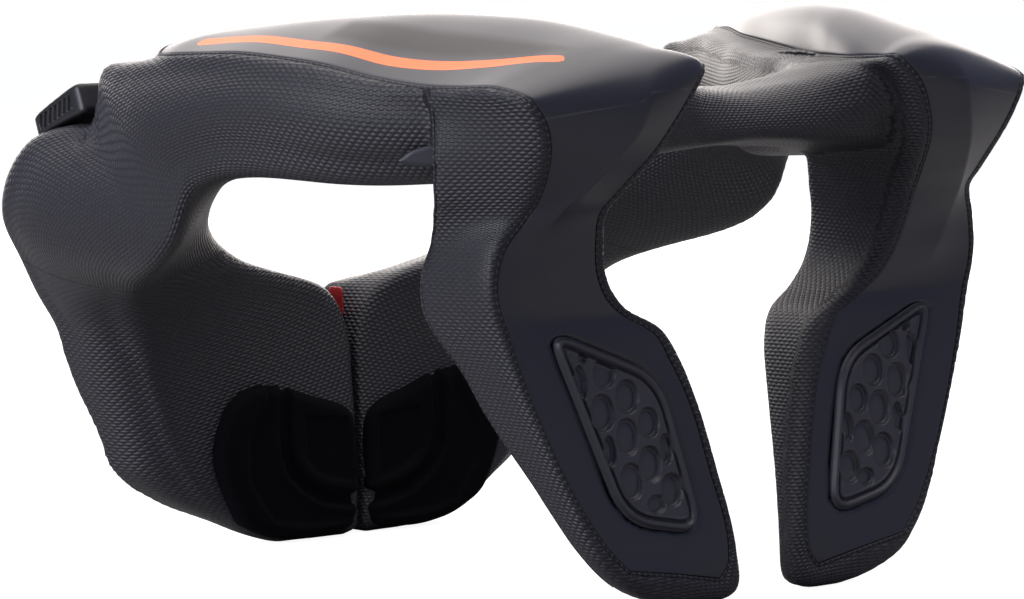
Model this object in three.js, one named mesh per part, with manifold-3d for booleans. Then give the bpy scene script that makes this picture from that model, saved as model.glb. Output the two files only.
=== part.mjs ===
// Motocross neck brace: a foam collar that stands on two back legs and a split chest piece.
// Millimetres, +Z up, +Y towards the chest, +X to the wearer's right.
// Solids are skins lofted through short tables of named sections.
// A place is [x, y, z]: x in percent of HALF_WIDTH from the middle, y in percent of DEPTH
// from the back, z in percent of HEIGHT from the ground. The left side mirrors the right.
// Every piece has its place in these percents, so it follows the overall size.
import * as THREE from 'three';
import { mergeVertices } from 'three/addons/utils/BufferGeometryUtils.js';
import Module from 'manifold-3d';

// Overall size
const HALF_WIDTH = 150;
const DEPTH = 284;
const HEIGHT = 202;
const MIDDLE_Y_PERCENT = 49.6;

// Foam. A belly is how far the middle of a side bows out.
const SPLIT_GAP = 2.4;
const ROUND_STEPS = 2;
const LONGEST_CUT_SHARE = 0.45;
const LEG_ROUNDS = { face_in: 7, face_out: 6, back_out: 3, back_in: 7 };
const OUTER_BELLY = 4;
const INNER_BELLY = 3;

// Hard covers of the legs and of the collar's top
const COVER_THICKNESS = 2.4;
const CUT_CLEAR = 9;
const FIT_GAP = 0.35;

// Rubber insert in the flat blade of each leg cover. The blade leans from its foot to its top, both
// [y, z] in percent; the outline and the cells are [x, z] in percent, cells with a share of CELL_RADIUS.
const BLADE_FOOT = [8.4, 0];
const BLADE_TOP = [12.4, 46.5];
const INSERT_PROUD = 1.2;
const INSERT_FIELD = 0.2;
const INSERT_FRAME = 5;
const INSERT_OUTLINE = [[60.7, 49], [28.3, 39.4], [19.7, 11.9], [43.3, 15.3]];
const INSERT_ROUND = 8;
const CELL_DEPTH = 1.2;
const CELL_RADIUS = 5.4;
const CELL_STEPS = 4;
const CELLS = [
  [44.7, 40.6, 1], [38.5, 36.4, 1], [46.3, 34.3, 1], [32.9, 31.8, 1], [39.7, 29.6, 1],
  [33.7, 24.8, 1], [39.6, 22.2, 1], [27.9, 20, 0.8], [33, 17.9, 0.6],
];

// Dark pad on the inner side of each chest half: back plane in percent of DEPTH, outlines [x, z] in percent
const PAD_BACK = 90;
const PAD_PROUD = 6.5;
const PAD_STEP = 1.4;
const PAD_ROUND = 5;
const PAD_GROOVE_ROUND = 3;
const PAD_OUTLINE = [
  [1.2, 2], [1.2, 24.3], [14.7, 25.7], [29.3, 29.7], [37.3, 29.2], [44.7, 23.8],
  [47.3, 16.3], [44, 7.9], [34.7, 2.5], [26.7, 0.7], [13.3, 0.4],
];
const PAD_GROOVE = [
  [1.3, 10.9], [20, 8.4], [25.3, 13.9], [25.3, 24.8], [21.3, 24.8], [21.3, 13.9], [17.3, 11.4], [1.3, 13.4],
];

// Ribbed grip tab on the front lobe, places in percent
const CLIP = { length: 33, width: 22, height: 8, slope: THREE.MathUtils.degToRad(-21.6) };
const CLIP_AT = [85.5, 86.3, 83.4];
const SLOTS = { count: 7, pitch: 3.4, width: 1.7, depth: 2, height: 4, below_middle: 0.5 };

// Plain plate in the scoop and the tab in the split, places in percent
const BADGE = { length: 22, height: 8.5, thickness: 2 };
const BADGE_AT = [81.3, 19.7, 77.5];
const BADGE_TURN = THREE.MathUtils.degToRad(-40);
const TAB = { thickness: 2.4, depth: 9, height: 14, sunk: 0.6 };
const TAB_AT = [0, 92.8, 44];

// Rows of values as objects with named columns
function table(columns, rows) {
  return rows.map((row) => Object.fromEntries(columns.map((name, k) => [name, row[k]])));
}

// Collar sections from the middle of the nape to the tip of the chest piece.
// round is the corner radius at the top and below, crown lifts the middle of the top side.
const COLLAR = table(['at', 'in_top', 'out_top', 'out_low', 'in_low', 'round', 'crown'], [
  ['nape_middle', [0, 20, 87], [0, 10.5, 85.5], [0, 8, 78], [0, 20.5, 76], [9, 9], 0],
  ['nape_side', [16, 20.5, 88], [17.5, 9, 87], [17.5, 8, 77.5], [16.5, 21, 75.5], [9, 9], 0],
  ['wing_inside', [28, 21, 89.5], [34, 4, 90.5], [34.5, 7, 76.5], [29.5, 22.5, 74.5], [9, 9], 1],
  ['wing_middle', [35, 25.5, 91], [58.5, 5, 91], [57.5, 8, 73.5], [38.5, 27.5, 74], [7, 9], 4.5],
  ['wing_outside', [39.5, 31.5, 91.5], [80, 15, 88.3], [74, 17, 72.5], [44, 34, 73], [6, 9], 5],
  ['scoop', [44.5, 37.5, 91.5], [89, 22.5, 89], [82, 25.5, 71.5], [48.5, 38.5, 72], [6, 9], 5],
  ['scoop_end', [49.5, 43, 92], [94, 30, 91.2], [88.5, 31, 71.5], [53.5, 43.5, 71.5], [6, 9], 4.5],
  ['side_back', [55.5, 48, 92.5], [96.5, 39, 93], [94, 38.5, 72.5], [58.5, 48.5, 71.5], [6, 11], 4],
  ['side_middle', [63, 55, 93.5], [97, 49.5, 93.8], [96, 47.5, 74], [65.5, 53.5, 73], [6, 12], 3],
  ['side_front', [70, 61, 94], [97, 61, 93], [97, 54, 72.5], [70.5, 58.5, 73], [6, 12], 1.5],
  ['side_end', [74.5, 67.5, 92.5], [95.5, 71.5, 92], [98, 56.5, 69.5], [70, 64.5, 73], [6, 14], 0.5],
  ['notch_back', [75.5, 71.5, 91], [93.5, 77.5, 91], [98, 56.5, 65], [67.5, 68.5, 71.5], [5, 14], 0],
  ['notch_floor', [75.5, 73.5, 82], [94, 79.5, 81.5], [98, 57.5, 61.5], [65, 71.5, 69.5], [5, 14], 0],
  ['lobe_top', [74.5, 78, 81.5], [96, 84.5, 81], [97.5, 59.5, 58.5], [63, 74.5, 68], [7, 14], 0],
  ['lobe_brow', [73.5, 85, 80.5], [98.5, 91.5, 78.5], [97, 62.5, 56], [60, 77, 65.5], [10, 14], 0],
  ['lobe_front', [70.5, 91.5, 75.5], [100, 96, 72.5], [96, 66, 54], [57, 79.5, 62.5], [12, 14], 0],
  ['lobe_low', [66, 96.5, 67], [99.5, 98, 65], [93.5, 70.5, 52.5], [52.5, 82, 60], [12, 12], 0],
  ['crease', [57.5, 98.5, 58.5], [94, 98.5, 56.5], [83.5, 78.5, 51.5], [46, 85, 57], [12, 10], 0],
  ['neckline_side', [41.5, 99, 52.5], [90, 98.5, 50], [76, 83.5, 48], [36, 87.5, 54], [12, 12], 0],
  ['neckline', [20, 99, 49], [84.5, 98.5, 43], [72, 86, 43], [20, 89, 51], [12, 10], 0],
  ['split_top', [0, 98.5, 46.5], [79.5, 98.5, 36.5], [68.5, 87.5, 37.5], [3, 90, 49], [5, 5], 0],
  ['chest_top', [0, 98.5, 41], [75.5, 98.5, 30], [64, 88.5, 30.5], [0, 90, 42.5], [4, 4], 0],
  ['chest_upper', [0, 98, 31.5], [71.5, 98, 23.5], [61, 89, 24], [0, 89.5, 31.5], [4, 4], 0],
  ['chest_middle', [0, 97.5, 21.5], [67.5, 97.5, 15.5], [56, 89.5, 16], [0, 89, 21.5], [4, 4], 0],
  ['chest_lower', [0, 97, 12], [56.5, 97, 9.5], [50, 89.5, 9.5], [0, 88.5, 12], [4, 4], 0],
  ['chest_bottom', [0, 96.5, 5], [40, 96.5, 4.5], [39, 89, 4.5], [0, 88.5, 5], [4, 4], 0],
  ['chest_sole_edge', [0, 96, 1.5], [30, 96, 1.5], [30, 89.5, 1.5], [0, 89, 1.5], [3, 3], 0],
  ['chest_sole', [3, 94.5, 0], [24, 94.5, 0], [24, 91, 0], [3, 90.5, 0], [2, 2], 0],
]);
const FIRST_SPLIT_ROW = COLLAR.findIndex((row) => row.at === 'split_top');

// Leg sections from the sole up to the wing. The face looks backwards, the back lies on the wearer.
// z is [inner, outer], ridge pushes the middle of the face out in percent of DEPTH.
const LEG = table(['at', 'z', 'face_in', 'face_out', 'back_out', 'back_in', 'ridge'], [
  ['sole', [0, 0], [13.5, 9.5], [25.5, 9.5], [25.5, 12], [13.5, 12], 0],
  ['sole_edge', [1.5, 1.5], [9, 8.8], [34, 8.8], [34, 12.5], [9, 12.5], 0],
  ['tip', [4.5, 4.5], [8, 8.7], [44, 8.7], [43, 12.5], [8, 12.8], 0],
  ['blade_foot', [10.5, 10.5], [8.5, 9.2], [52, 9.2], [51, 13.5], [9, 13.5], 0],
  ['blade_low', [22, 22], [11.5, 10.2], [59.5, 10.2], [58.5, 17], [12, 16], 0],
  ['blade_middle', [33.5, 33.5], [15.5, 11.2], [66.5, 11.2], [65.5, 20.8], [16.5, 19.5], 0],
  ['blade_high', [41.5, 41.5], [19.5, 11.9], [71, 11.9], [69.5, 23], [21, 22.5], 0],
  ['blade_shoulder', [46.5, 46.5], [24.5, 12.2], [73, 12.2], [74, 24.2], [26, 24.2], 0],
  ['waist_foot', [50, 50], [34, 12.6], [75, 12.6], [76, 25], [34, 25.2], 0],
  ['waist_low', [53, 53], [38.5, 12.2], [76, 12.6], [76.5, 25.5], [39, 25.8], 0],
  ['waist', [57, 57], [42.5, 11.3], [76.5, 12.4], [77, 25.2], [42.5, 26.2], 0],
  ['waist_high', [62.5, 62.5], [44.5, 10.3], [75, 11.8], [77, 23.2], [44, 26.5], 0.5],
  ['flare_low', [67, 67], [45, 9.3], [71, 10.3], [79.5, 21], [43.5, 26.5], 1.2],
  ['flare', [71, 70.5], [43, 7], [70.5, 8], [82, 19.2], [42, 26], 2],
  ['ridge_foot', [76.5, 77], [39.5, 3.6], [72.5, 5], [83.5, 18.2], [40, 25], 2],
  ['ridge_low', [81.5, 81.5], [36, 2.2], [74.5, 3.8], [83.5, 18], [37, 24], 1.8],
  ['ridge', [87, 85], [31.5, 1.4], [77, 3.8], [83.5, 18], [33, 23], 1.5],
  ['fold', [90.5, 87], [27, 2.6], [79.5, 5.5], [84, 18], [31, 22.5], 1.2],
  ['top', [90.5, 88], [30, 6], [80, 9], [83, 18], [32, 21], 0],
]);

// Hard cover from the tip of the leg over the ridge and forwards along the collar.
// bow 1 curves the cross line through its ridge, bow 0 leaves a crease there.
const COVER = table(['at', 'inner', 'ridge', 'outer', 'bow'], [
  ['tip', [15.5, 9, 4], [29.5, 8.7, 6], [43, 8.8, 7.5], 0],
  ['foot', [12.8, 9, 6.5], [29.5, 9, 8], [46.5, 9.1, 10], 0],
  ['blade_foot', [12.5, 9.3, 12], [31, 9.4, 12.5], [50, 9.4, 13], 0],
  ['blade_low', [15.5, 10.3, 22], [36, 10.3, 22], [57.5, 10.3, 22], 0],
  ['blade_middle', [19.5, 11.3, 33.5], [41.5, 11.3, 33.5], [64.5, 11.3, 33.5], 0],
  ['blade_high', [24.5, 12, 41.5], [46.5, 12, 41.5], [68.5, 12, 41.5], 0],
  ['blade_shoulder', [28.5, 12.3, 46], [49.5, 12.4, 46.5], [70.5, 12.4, 46.5], 0],
  ['waist_foot', [37, 12.8, 49.5], [55.5, 12.7, 50], [72, 12.6, 50], 0],
  ['waist_low', [42.5, 12.4, 52.5], [58.5, 12.4, 53], [73.5, 12.6, 53], 0],
  ['waist', [46.5, 11.6, 57], [61, 11.5, 57], [74, 12.5, 57], 0],
  ['waist_high', [48.5, 10.5, 62.5], [64, 10.8, 62.5], [72.5, 12, 62], 0],
  ['flare_low', [49, 9.4, 67], [63, 8.6, 67], [68.5, 10.4, 67], 0],
  ['flare', [47, 7.1, 71], [59, 5.4, 71.5], [68, 8.3, 70.5], 0],
  ['ridge_foot', [43.5, 3.7, 76.5], [54.5, 2.2, 77], [70, 5.2, 77], 0],
  ['ridge_low', [40.5, 2, 81], [51, 0.6, 81.5], [72, 4.1, 81], 0],
  ['ridge', [35.5, 1, 87], [48.5, 0.2, 87.5], [74.5, 4, 84.5], 0.5],
  ['fold', [30.5, 2, 91], [46, 2, 92], [77, 5, 87], 1],
  ['crest_back', [30.5, 5.5, 91.2], [48, 6.5, 94.5], [79, 9, 88.5], 1],
  ['crest_low', [32.5, 11.5, 91], [49, 13.5, 97], [81.5, 14, 88.5], 1],
  ['crest', [37.5, 18, 91], [51.5, 20, 98.8], [84, 19, 88.7], 1],
  ['crown_back', [43.5, 24.5, 91], [56, 27, 99.7], [87.5, 25.5, 90], 1],
  ['crown', [50, 32.5, 92], [62, 34, 100], [91.5, 32.5, 92.2], 1],
  ['crown_front', [57.5, 41, 93], [68, 41, 99.7], [93.5, 40, 93.4], 1],
  ['top_back', [64.5, 49, 94], [74.5, 48, 99], [94.5, 47, 94.1], 1],
  ['top_middle', [72, 55.5, 95], [80.5, 55, 98], [95, 54, 94], 1],
  ['top_front', [77, 60, 95.2], [85.5, 60.5, 96.8], [94.7, 60.5, 93.8], 1],
  ['end', [81, 63.5, 94.6], [87.5, 65, 95.2], [92.5, 64.5, 93.8], 1],
]);
const COVER_ACROSS = [0, 0.25, 0.5, 0.75, 1];

const wasm = await Module();
wasm.setup();

const share = (percent, size) => (percent / 100) * size;
const spot = ([x, y, z]) =>
  new THREE.Vector3(share(x, HALF_WIDTH), share(y - MIDDLE_Y_PERCENT, DEPTH), share(z, HEIGHT));

// Points round a quarter turn at one corner of a section
function cornerTurn(corner, before, after, round) {
  const toBefore = before.clone().sub(corner);
  const toAfter = after.clone().sub(corner);
  const cutBefore = Math.min(round, toBefore.length() * LONGEST_CUT_SHARE);
  const cutAfter = Math.min(round, toAfter.length() * LONGEST_CUT_SHARE);
  const start = corner.clone().addScaledVector(toBefore.normalize(), cutBefore);
  const end = corner.clone().addScaledVector(toAfter.normalize(), cutAfter);
  return new THREE.QuadraticBezierCurve3(start, corner, end).getPoints(ROUND_STEPS);
}

// One section: a loop round four corners, the middle of side k pushed out by bellies[k]
function sectionLoop(quad, rounds, bellies) {
  const middle = quad.reduce((sum, p) => sum.add(p), new THREE.Vector3()).multiplyScalar(1 / 4);
  const loop = [];
  quad.forEach((corner, c) => {
    const after = quad[(c + 1) % 4];
    loop.push(...cornerTurn(corner, quad[(c + 3) % 4], after, rounds[c]));
    const side = after.clone().sub(corner);
    const half = corner.clone().add(after).multiplyScalar(1 / 2);
    const out = half.clone().sub(middle);
    out.addScaledVector(side, -out.dot(side) / side.lengthSq()).normalize();
    loop.push(half.addScaledVector(out, bellies[c]));
  });
  return loop;
}

// Faces between loop r and loop r + 1 for every r
function bandFaces(loopCount, size) {
  const faces = [];
  for (let r = 0; r < loopCount - 1; r++) {
    for (let k = 0; k < size; k++) {
      const a = r * size + k;
      const b = r * size + ((k + 1) % size);
      faces.push(a, b, a + size, b, b + size, a + size);
    }
  }
  return faces;
}

// Closed skin through the loops, with a fan at each end
function skin(loops) {
  const size = loops[0].length;
  const points = loops.flat().map((p) => p.clone());
  const faces = bandFaces(loops.length, size);
  const last = (loops.length - 1) * size;
  for (const [first, facesBack] of [[0, true], [last, false]]) {
    const hub = points.length;
    const ring = points.slice(first, first + size);
    points.push(ring.reduce((sum, p) => sum.add(p), new THREE.Vector3()).multiplyScalar(1 / size));
    for (let k = 0; k < size; k++) {
      const a = first + k;
      const b = first + ((k + 1) % size);
      faces.push(...(facesBack ? [hub, b, a] : [hub, a, b]));
    }
  }
  return solidOf(points, faces);
}

function manifoldOf(geometry) {
  const bare = geometry.clone();
  bare.deleteAttribute('normal');
  bare.deleteAttribute('uv');
  const merged = mergeVertices(bare, 1e-4);
  return new wasm.Manifold(new wasm.Mesh({
    numProp: 3,
    vertProperties: new Float32Array(merged.attributes.position.array),
    triVerts: new Uint32Array(merged.index.array),
  }));
}

// Solid from points and faces, whichever way round the faces were listed
function solidOf(points, faces) {
  const geometry = new THREE.BufferGeometry().setFromPoints(points);
  geometry.setIndex(faces);
  const solid = manifoldOf(geometry);
  if (solid.volume() > 0) return solid;
  geometry.setIndex(faces.slice().reverse());
  return manifoldOf(geometry);
}

const onLeft = (solid) => solid.mirror([1, 0, 0]);

// Foam collar: one sweep from the left chest tip over the nape to the right chest tip
function collarSolid() {
  const loops = COLLAR.map((row, i) => {
    const quad = [row.in_top, row.out_top, row.out_low, row.in_low].map(spot);
    if (i >= FIRST_SPLIT_ROW) quad.forEach((p) => { p.x = Math.max(p.x, SPLIT_GAP / 2); });
    const [top, low] = row.round;
    const whole = i >= FIRST_SPLIT_ROW ? 0 : 1;
    const bellies = [share(row.crown, HEIGHT), OUTER_BELLY, 0, INNER_BELLY * whole];
    return sectionLoop(quad, [top, top, low, low], bellies);
  });
  const left = loops.slice(1).map((loop) => loop.map((p) => new THREE.Vector3(-p.x, p.y, p.z)));
  return skin([...left.reverse(), ...loops]);
}

function legSolid() {
  const rounds = [LEG_ROUNDS.face_in, LEG_ROUNDS.face_out, LEG_ROUNDS.back_out, LEG_ROUNDS.back_in];
  return skin(LEG.map((row) => {
    const [zIn, zOut] = row.z;
    const quad = [[row.face_in, zIn], [row.face_out, zOut], [row.back_out, zOut], [row.back_in, zIn]];
    const places = quad.map(([[x, y], z]) => spot([x, y, z]));
    return sectionLoop(places, rounds, [share(row.ridge, DEPTH), 0, 0, 0]);
  }));
}

// One cross line of the cover: inner border, ridge, outer border, bowed between them
function coverLine(row) {
  const [inner, ridge, outer] = [row.inner, row.ridge, row.outer].map(spot);
  const bulge = ridge.clone().multiplyScalar(2).sub(inner).sub(outer);
  return COVER_ACROSS.map((t) => {
    const straight = t < 0.5
      ? inner.clone().lerp(ridge, t * 2)
      : ridge.clone().lerp(outer, t * 2 - 1);
    const bowed = t === 0.25 || t === 0.75 ? row.bow / 8 : 0;
    return straight.addScaledVector(bulge, bowed);
  });
}

// Moves the border points of a grid outwards along their own rows and columns
function grown(grid, by) {
  const away = (p, q) => p.clone().add(p.clone().sub(q).setLength(by));
  const wide = grid.map((line) => {
    const n = line.length;
    return [away(line[0], line[1]), ...line.slice(1, n - 1), away(line[n - 1], line[n - 2])];
  });
  const n = wide.length;
  const first = wide[0].map((p, j) => away(p, wide[1][j]));
  const last = wide[n - 1].map((p, j) => away(p, wide[n - 2][j]));
  return [first, ...wide.slice(1, n - 1), last];
}

function gridNormals(grid) {
  const at = (i, j) => grid[Math.min(Math.max(i, 0), grid.length - 1)][Math.min(Math.max(j, 0), grid[0].length - 1)];
  return grid.map((line, i) => line.map((_, j) => {
    const along = at(i + 1, j).clone().sub(at(i - 1, j));
    const across = at(i, j + 1).clone().sub(at(i, j - 1));
    return across.cross(along).normalize();
  }));
}

// Curved board between two offsets of a grid: over outside it, under inside it
function board(grid, over, under, normals = gridNormals(grid)) {
  const rows = grid.length;
  const size = grid[0].length;
  const layer = (offset) => grid.flatMap((line, i) =>
    line.map((p, j) => p.clone().addScaledVector(normals[i][j], offset)));
  const points = [...layer(over), ...layer(-under)];
  const shift = rows * size;
  const faces = [];
  const quad = (a, b, c, d) => faces.push(a, b, c, a, c, d);
  for (let i = 0; i < rows - 1; i++) {
    for (let j = 0; j < size - 1; j++) {
      const a = i * size + j;
      quad(a, a + 1, a + 1 + size, a + size);
      quad(a + shift, a + size + shift, a + 1 + size + shift, a + 1 + shift);
    }
  }
  const wall = (a, b) => quad(b, a, a + shift, b + shift);
  for (let j = 0; j < size - 1; j++) {
    wall(j, j + 1);
    wall((rows - 1) * size + j + 1, (rows - 1) * size + j);
  }
  for (let i = 0; i < rows - 1; i++) {
    wall((i + 1) * size, i * size);
    wall(i * size + size - 1, (i + 1) * size + size - 1);
  }
  return solidOf(points, faces);
}

// Thick board put together from overlapping slices, so that its far side can't fold over itself
function thickBoard(grid, over, under) {
  const normals = gridNormals(grid);
  const slices = grid.slice(2).map((_, i) =>
    board(grid.slice(i, i + 3), over, under, normals.slice(i, i + 3)));
  return slices.reduce((sum, slice) => sum.add(slice));
}

// The biggest of the separate bodies of a solid, without the crumbs that a cut leaves
function biggest(solid) {
  return solid.decompose().reduce((best, part) => (part.volume() > best.volume() ? part : best));
}

// Closed outline with each corner cut by a short arc
function roundedShape(corners, round, grow = 0) {
  const points = corners.map(([x, y]) => new THREE.Vector2(x, y));
  const middle = points.reduce((sum, p) => sum.add(p), new THREE.Vector2()).multiplyScalar(1 / points.length);
  points.forEach((p) => p.add(p.clone().sub(middle).setLength(grow)));
  const shape = new THREE.Shape();
  points.forEach((p, i) => {
    const before = points[(i + points.length - 1) % points.length].clone().sub(p);
    const after = points[(i + 1) % points.length].clone().sub(p);
    const start = p.clone().add(before.setLength(Math.min(round, before.length() * LONGEST_CUT_SHARE)));
    const end = p.clone().add(after.setLength(Math.min(round, after.length() * LONGEST_CUT_SHARE)));
    if (i === 0) shape.moveTo(start.x, start.y);
    else shape.lineTo(start.x, start.y);
    shape.quadraticCurveTo(p.x, p.y, end.x, end.y);
  });
  shape.closePath();
  return shape;
}

// Prism of a flat outline from depth lowest to highest along the normal of the frame
function prism(shape, frame, lowest, highest, curveSegments = 2) {
  const settings = { depth: highest - lowest, bevelEnabled: false, curveSegments };
  const geometry = new THREE.ExtrudeGeometry(shape, settings);
  geometry.translate(0, 0, lowest);
  geometry.applyMatrix4(frame);
  return manifoldOf(geometry);
}

// Outline points [x, z] in percent, as millimetres
const flat = (points) => points.map(([x, z]) => [share(x, HALF_WIDTH), share(z, HEIGHT)]);

// Frame of the blade: x along X, height up the leaning blade, depth out of its face
function bladeFrame() {
  const foot = spot([0, ...BLADE_FOOT]);
  const side = new THREE.Vector3(1, 0, 0);
  const up = spot([0, ...BLADE_TOP]).sub(foot).normalize();
  return new THREE.Matrix4().makeBasis(side, up, side.clone().cross(up)).setPosition(foot);
}

const insertOutline = (grow) => roundedShape(flat(INSERT_OUTLINE), INSERT_ROUND, grow);

function insertSolid() {
  const frame = bladeFrame();
  const top = INSERT_PROUD + CUT_CLEAR;
  const body = prism(insertOutline(0), frame, -COVER_THICKNESS, INSERT_PROUD);
  const field = prism(insertOutline(-INSERT_FRAME), frame, INSERT_FIELD, top);
  const middles = flat(CELLS);
  return CELLS.reduce((left, [, , size], i) => {
    const cell = new THREE.Shape();
    cell.absarc(...middles[i], CELL_RADIUS * size, 0, Math.PI * 2);
    return left.subtract(prism(cell, frame, INSERT_FIELD - CELL_DEPTH, top, CELL_STEPS));
  }, body.subtract(field));
}

// Frame that looks backwards from the chest: x along X, height up, depth along -Y
function chestFrame() {
  const frame = new THREE.Matrix4().makeBasis(
    new THREE.Vector3(1, 0, 0), new THREE.Vector3(0, 0, 1), new THREE.Vector3(0, -1, 0));
  return frame.setPosition(spot([0, PAD_BACK, 0]));
}

function padSolid() {
  const frame = chestFrame();
  const body = prism(roundedShape(flat(PAD_OUTLINE), PAD_ROUND), frame, 0, PAD_PROUD);
  const groove = roundedShape(flat(PAD_GROOVE), PAD_GROOVE_ROUND);
  return body.subtract(prism(groove, frame, PAD_PROUD - PAD_STEP, PAD_PROUD + CUT_CLEAR));
}

function padRecess() {
  const outline = roundedShape(flat(PAD_OUTLINE), PAD_ROUND, FIT_GAP);
  return prism(outline, chestFrame(), -FIT_GAP, PAD_PROUD + CUT_CLEAR);
}

// Block centred on its own middle, turned and moved
function block(length, width, height, frame) {
  return manifoldOf(new THREE.BoxGeometry(length, width, height).applyMatrix4(frame));
}

function clipFrame() {
  return new THREE.Matrix4().makeRotationX(CLIP.slope).setPosition(spot(CLIP_AT));
}

function clipSolid() {
  const frame = clipFrame();
  const slots = Array.from({ length: SLOTS.count }, (_, i) => {
    const along = (i - (SLOTS.count - 1) / 2) * SLOTS.pitch;
    const shift = new THREE.Matrix4().makeTranslation(CLIP.width / 2, along, -SLOTS.below_middle);
    return block(SLOTS.depth * 2, SLOTS.width, SLOTS.height, frame.clone().multiply(shift));
  });
  return slots.reduce((left, slot) => left.subtract(slot), block(CLIP.width, CLIP.length, CLIP.height, frame));
}

function clipRecess() {
  const grow = FIT_GAP * 2;
  return block(CLIP.width + grow, CLIP.length + grow, CLIP.height + grow, clipFrame());
}

function badgeSolid(grow) {
  const frame = new THREE.Matrix4().makeRotationZ(BADGE_TURN).setPosition(spot(BADGE_AT));
  return block(BADGE.thickness + grow, BADGE.length + grow, BADGE.height + grow, frame);
}

function tabSolid(grow) {
  const middle = spot(TAB_AT);
  middle.x = SPLIT_GAP / 2 + TAB.thickness / 2 - TAB.sunk;
  const frame = new THREE.Matrix4().setPosition(middle);
  return block(TAB.thickness + grow, TAB.depth + grow, TAB.height + grow, frame);
}

const brace = new THREE.Group();

function addPiece(name, solid, look) {
  const mesh = solid.getMesh();
  const geometry = new THREE.BufferGeometry();
  geometry.setAttribute('position', new THREE.BufferAttribute(new Float32Array(mesh.vertProperties), 3));
  geometry.setIndex(Array.from(mesh.triVerts));
  geometry.computeVertexNormals();
  const piece = new THREE.Mesh(geometry, new THREE.MeshStandardMaterial(look));
  piece.name = name;
  brace.add(piece);
}

function addPair(name, solid, look) {
  addPiece(`${name}_right`, solid, look);
  addPiece(`${name}_left`, onLeft(solid), look);
}

const coverGrid = COVER.map(coverLine);
const insertHole = prism(insertOutline(FIT_GAP), bladeFrame(), -CUT_CLEAR, CUT_CLEAR);
const shell = board(coverGrid, 0, COVER_THICKNESS).subtract(insertHole);
const recessGrid = grown(coverGrid, FIT_GAP);
const coverSeat = board(recessGrid, FIT_GAP, COVER_THICKNESS + FIT_GAP);
const shellRecess = coverSeat.add(thickBoard(recessGrid, CUT_CLEAR, 0));
const insertFloor = prism(insertOutline(FIT_GAP), bladeFrame(), -COVER_THICKNESS - FIT_GAP, CUT_CLEAR);
const recesses = [shellRecess, insertFloor, padRecess(), clipRecess(), badgeSolid(FIT_GAP * 2)];

let foam = collarSolid();
for (const side of [(solid) => solid, onLeft]) {
  foam = foam.add(side(legSolid()));
}
for (const side of [(solid) => solid, onLeft]) {
  for (const recess of recesses) foam = foam.subtract(side(recess));
}
foam = biggest(foam.subtract(tabSolid(FIT_GAP * 2)));

addPiece('foam_body', foam, { color: 0x26262b, roughness: 0.7, metalness: 0 });
addPair('shell', shell, { color: 0x33333a, roughness: 0.45, metalness: 0 });
addPair('insert', insertSolid(), { color: 0x101013, roughness: 0.6, metalness: 0 });
addPair('chest_pad', padSolid(), { color: 0x08080b, roughness: 0.95, metalness: 0 });
addPair('clip', clipSolid(), { color: 0x17171a, roughness: 0.5, metalness: 0 });
addPair('badge', badgeSolid(0), { color: 0x35353c, roughness: 0.4, metalness: 0 });
addPiece('split_tab', tabSolid(0), { color: 0x8c1206, roughness: 0.5, metalness: 0 });

export default brace;
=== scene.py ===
import math

import bmesh
import bpy
import numpy as np
from mathutils import Matrix, Vector
from mathutils.bvhtree import BVHTree


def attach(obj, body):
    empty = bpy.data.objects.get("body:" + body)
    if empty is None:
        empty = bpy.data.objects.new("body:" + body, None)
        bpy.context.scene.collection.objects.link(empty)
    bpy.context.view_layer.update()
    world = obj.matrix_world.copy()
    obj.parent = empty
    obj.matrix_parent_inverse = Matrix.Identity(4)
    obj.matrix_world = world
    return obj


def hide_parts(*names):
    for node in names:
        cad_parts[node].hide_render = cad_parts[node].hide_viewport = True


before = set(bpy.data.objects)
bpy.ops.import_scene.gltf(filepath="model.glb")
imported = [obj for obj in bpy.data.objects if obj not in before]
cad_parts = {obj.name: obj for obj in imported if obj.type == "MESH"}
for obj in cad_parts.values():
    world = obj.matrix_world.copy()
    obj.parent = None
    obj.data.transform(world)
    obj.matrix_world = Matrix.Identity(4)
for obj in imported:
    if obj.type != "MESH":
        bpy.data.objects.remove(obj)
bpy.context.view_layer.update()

# Overall size in metres; tables give places in percent of the half width, depth and height, and y is
# 0 at the middle's share of the depth
HALF_WIDTH = 0.150
DEPTH = 0.284
HEIGHT = 0.202
MIDDLE_Y = 0.496
MM = 0.001

# Foam: a belly is how far a side bows out in millimetres, at most the limit's share of its straight
# part, and a corner's cut is at most the cut share of a side
SPLIT_GAP = 1.6 * MM
SPLIT_FROM = "neckline"
CREASE_ROW = "crease"
FOAM_GRAIN = 1.8 * MM
FOAM_SMOOTHING = 14
LOW_SMOOTHING = 6
PLAIN_SMOOTHING = 4
LEG_ROUNDS = (7, 6, 3, 7)
LOW_BELLY = 4
INNER_BELLY = 3
BELLY_LIMIT = 0.15
CUT_SHARE = 0.45
TURN_POINTS = 5
SIDE_POINTS = 7

# Foam under a cover: its depth there and the distances from the border over which it goes down, how
# far out it is drawn in, which points count as under the cover, and the rolled rim round the cover
SEAT_GAP = 0.4 * MM
SEAT_DEPTH = 2.7 * MM
SEAT_SLOPE = (0.2 * MM, 2.6 * MM)
SEAT_REACH = 5 * MM
SEAT_FACING = (0.1, 0.45)
SEAT_HEIGHT = (9 * MM, 13 * MM)
OFF_COVER = 0.35 * MM
RIM_HEIGHT = 0.7 * MM
RIM_DISTANCE = 2.2 * MM
RIM_SPREAD = 1.3 * MM

# Embossed cells of the foam's skin and stitches of the piping, in millimetres
CELL_LONG = 2.5
CELL_HIGH = 1.3
STITCH_PITCH = 2.6

# Hard covers
COVER_THICKNESS = 2.4 * MM
COVER_EDGE_ROUND = 0.9 * MM
CREASE_ROUND = 0.035

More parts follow.
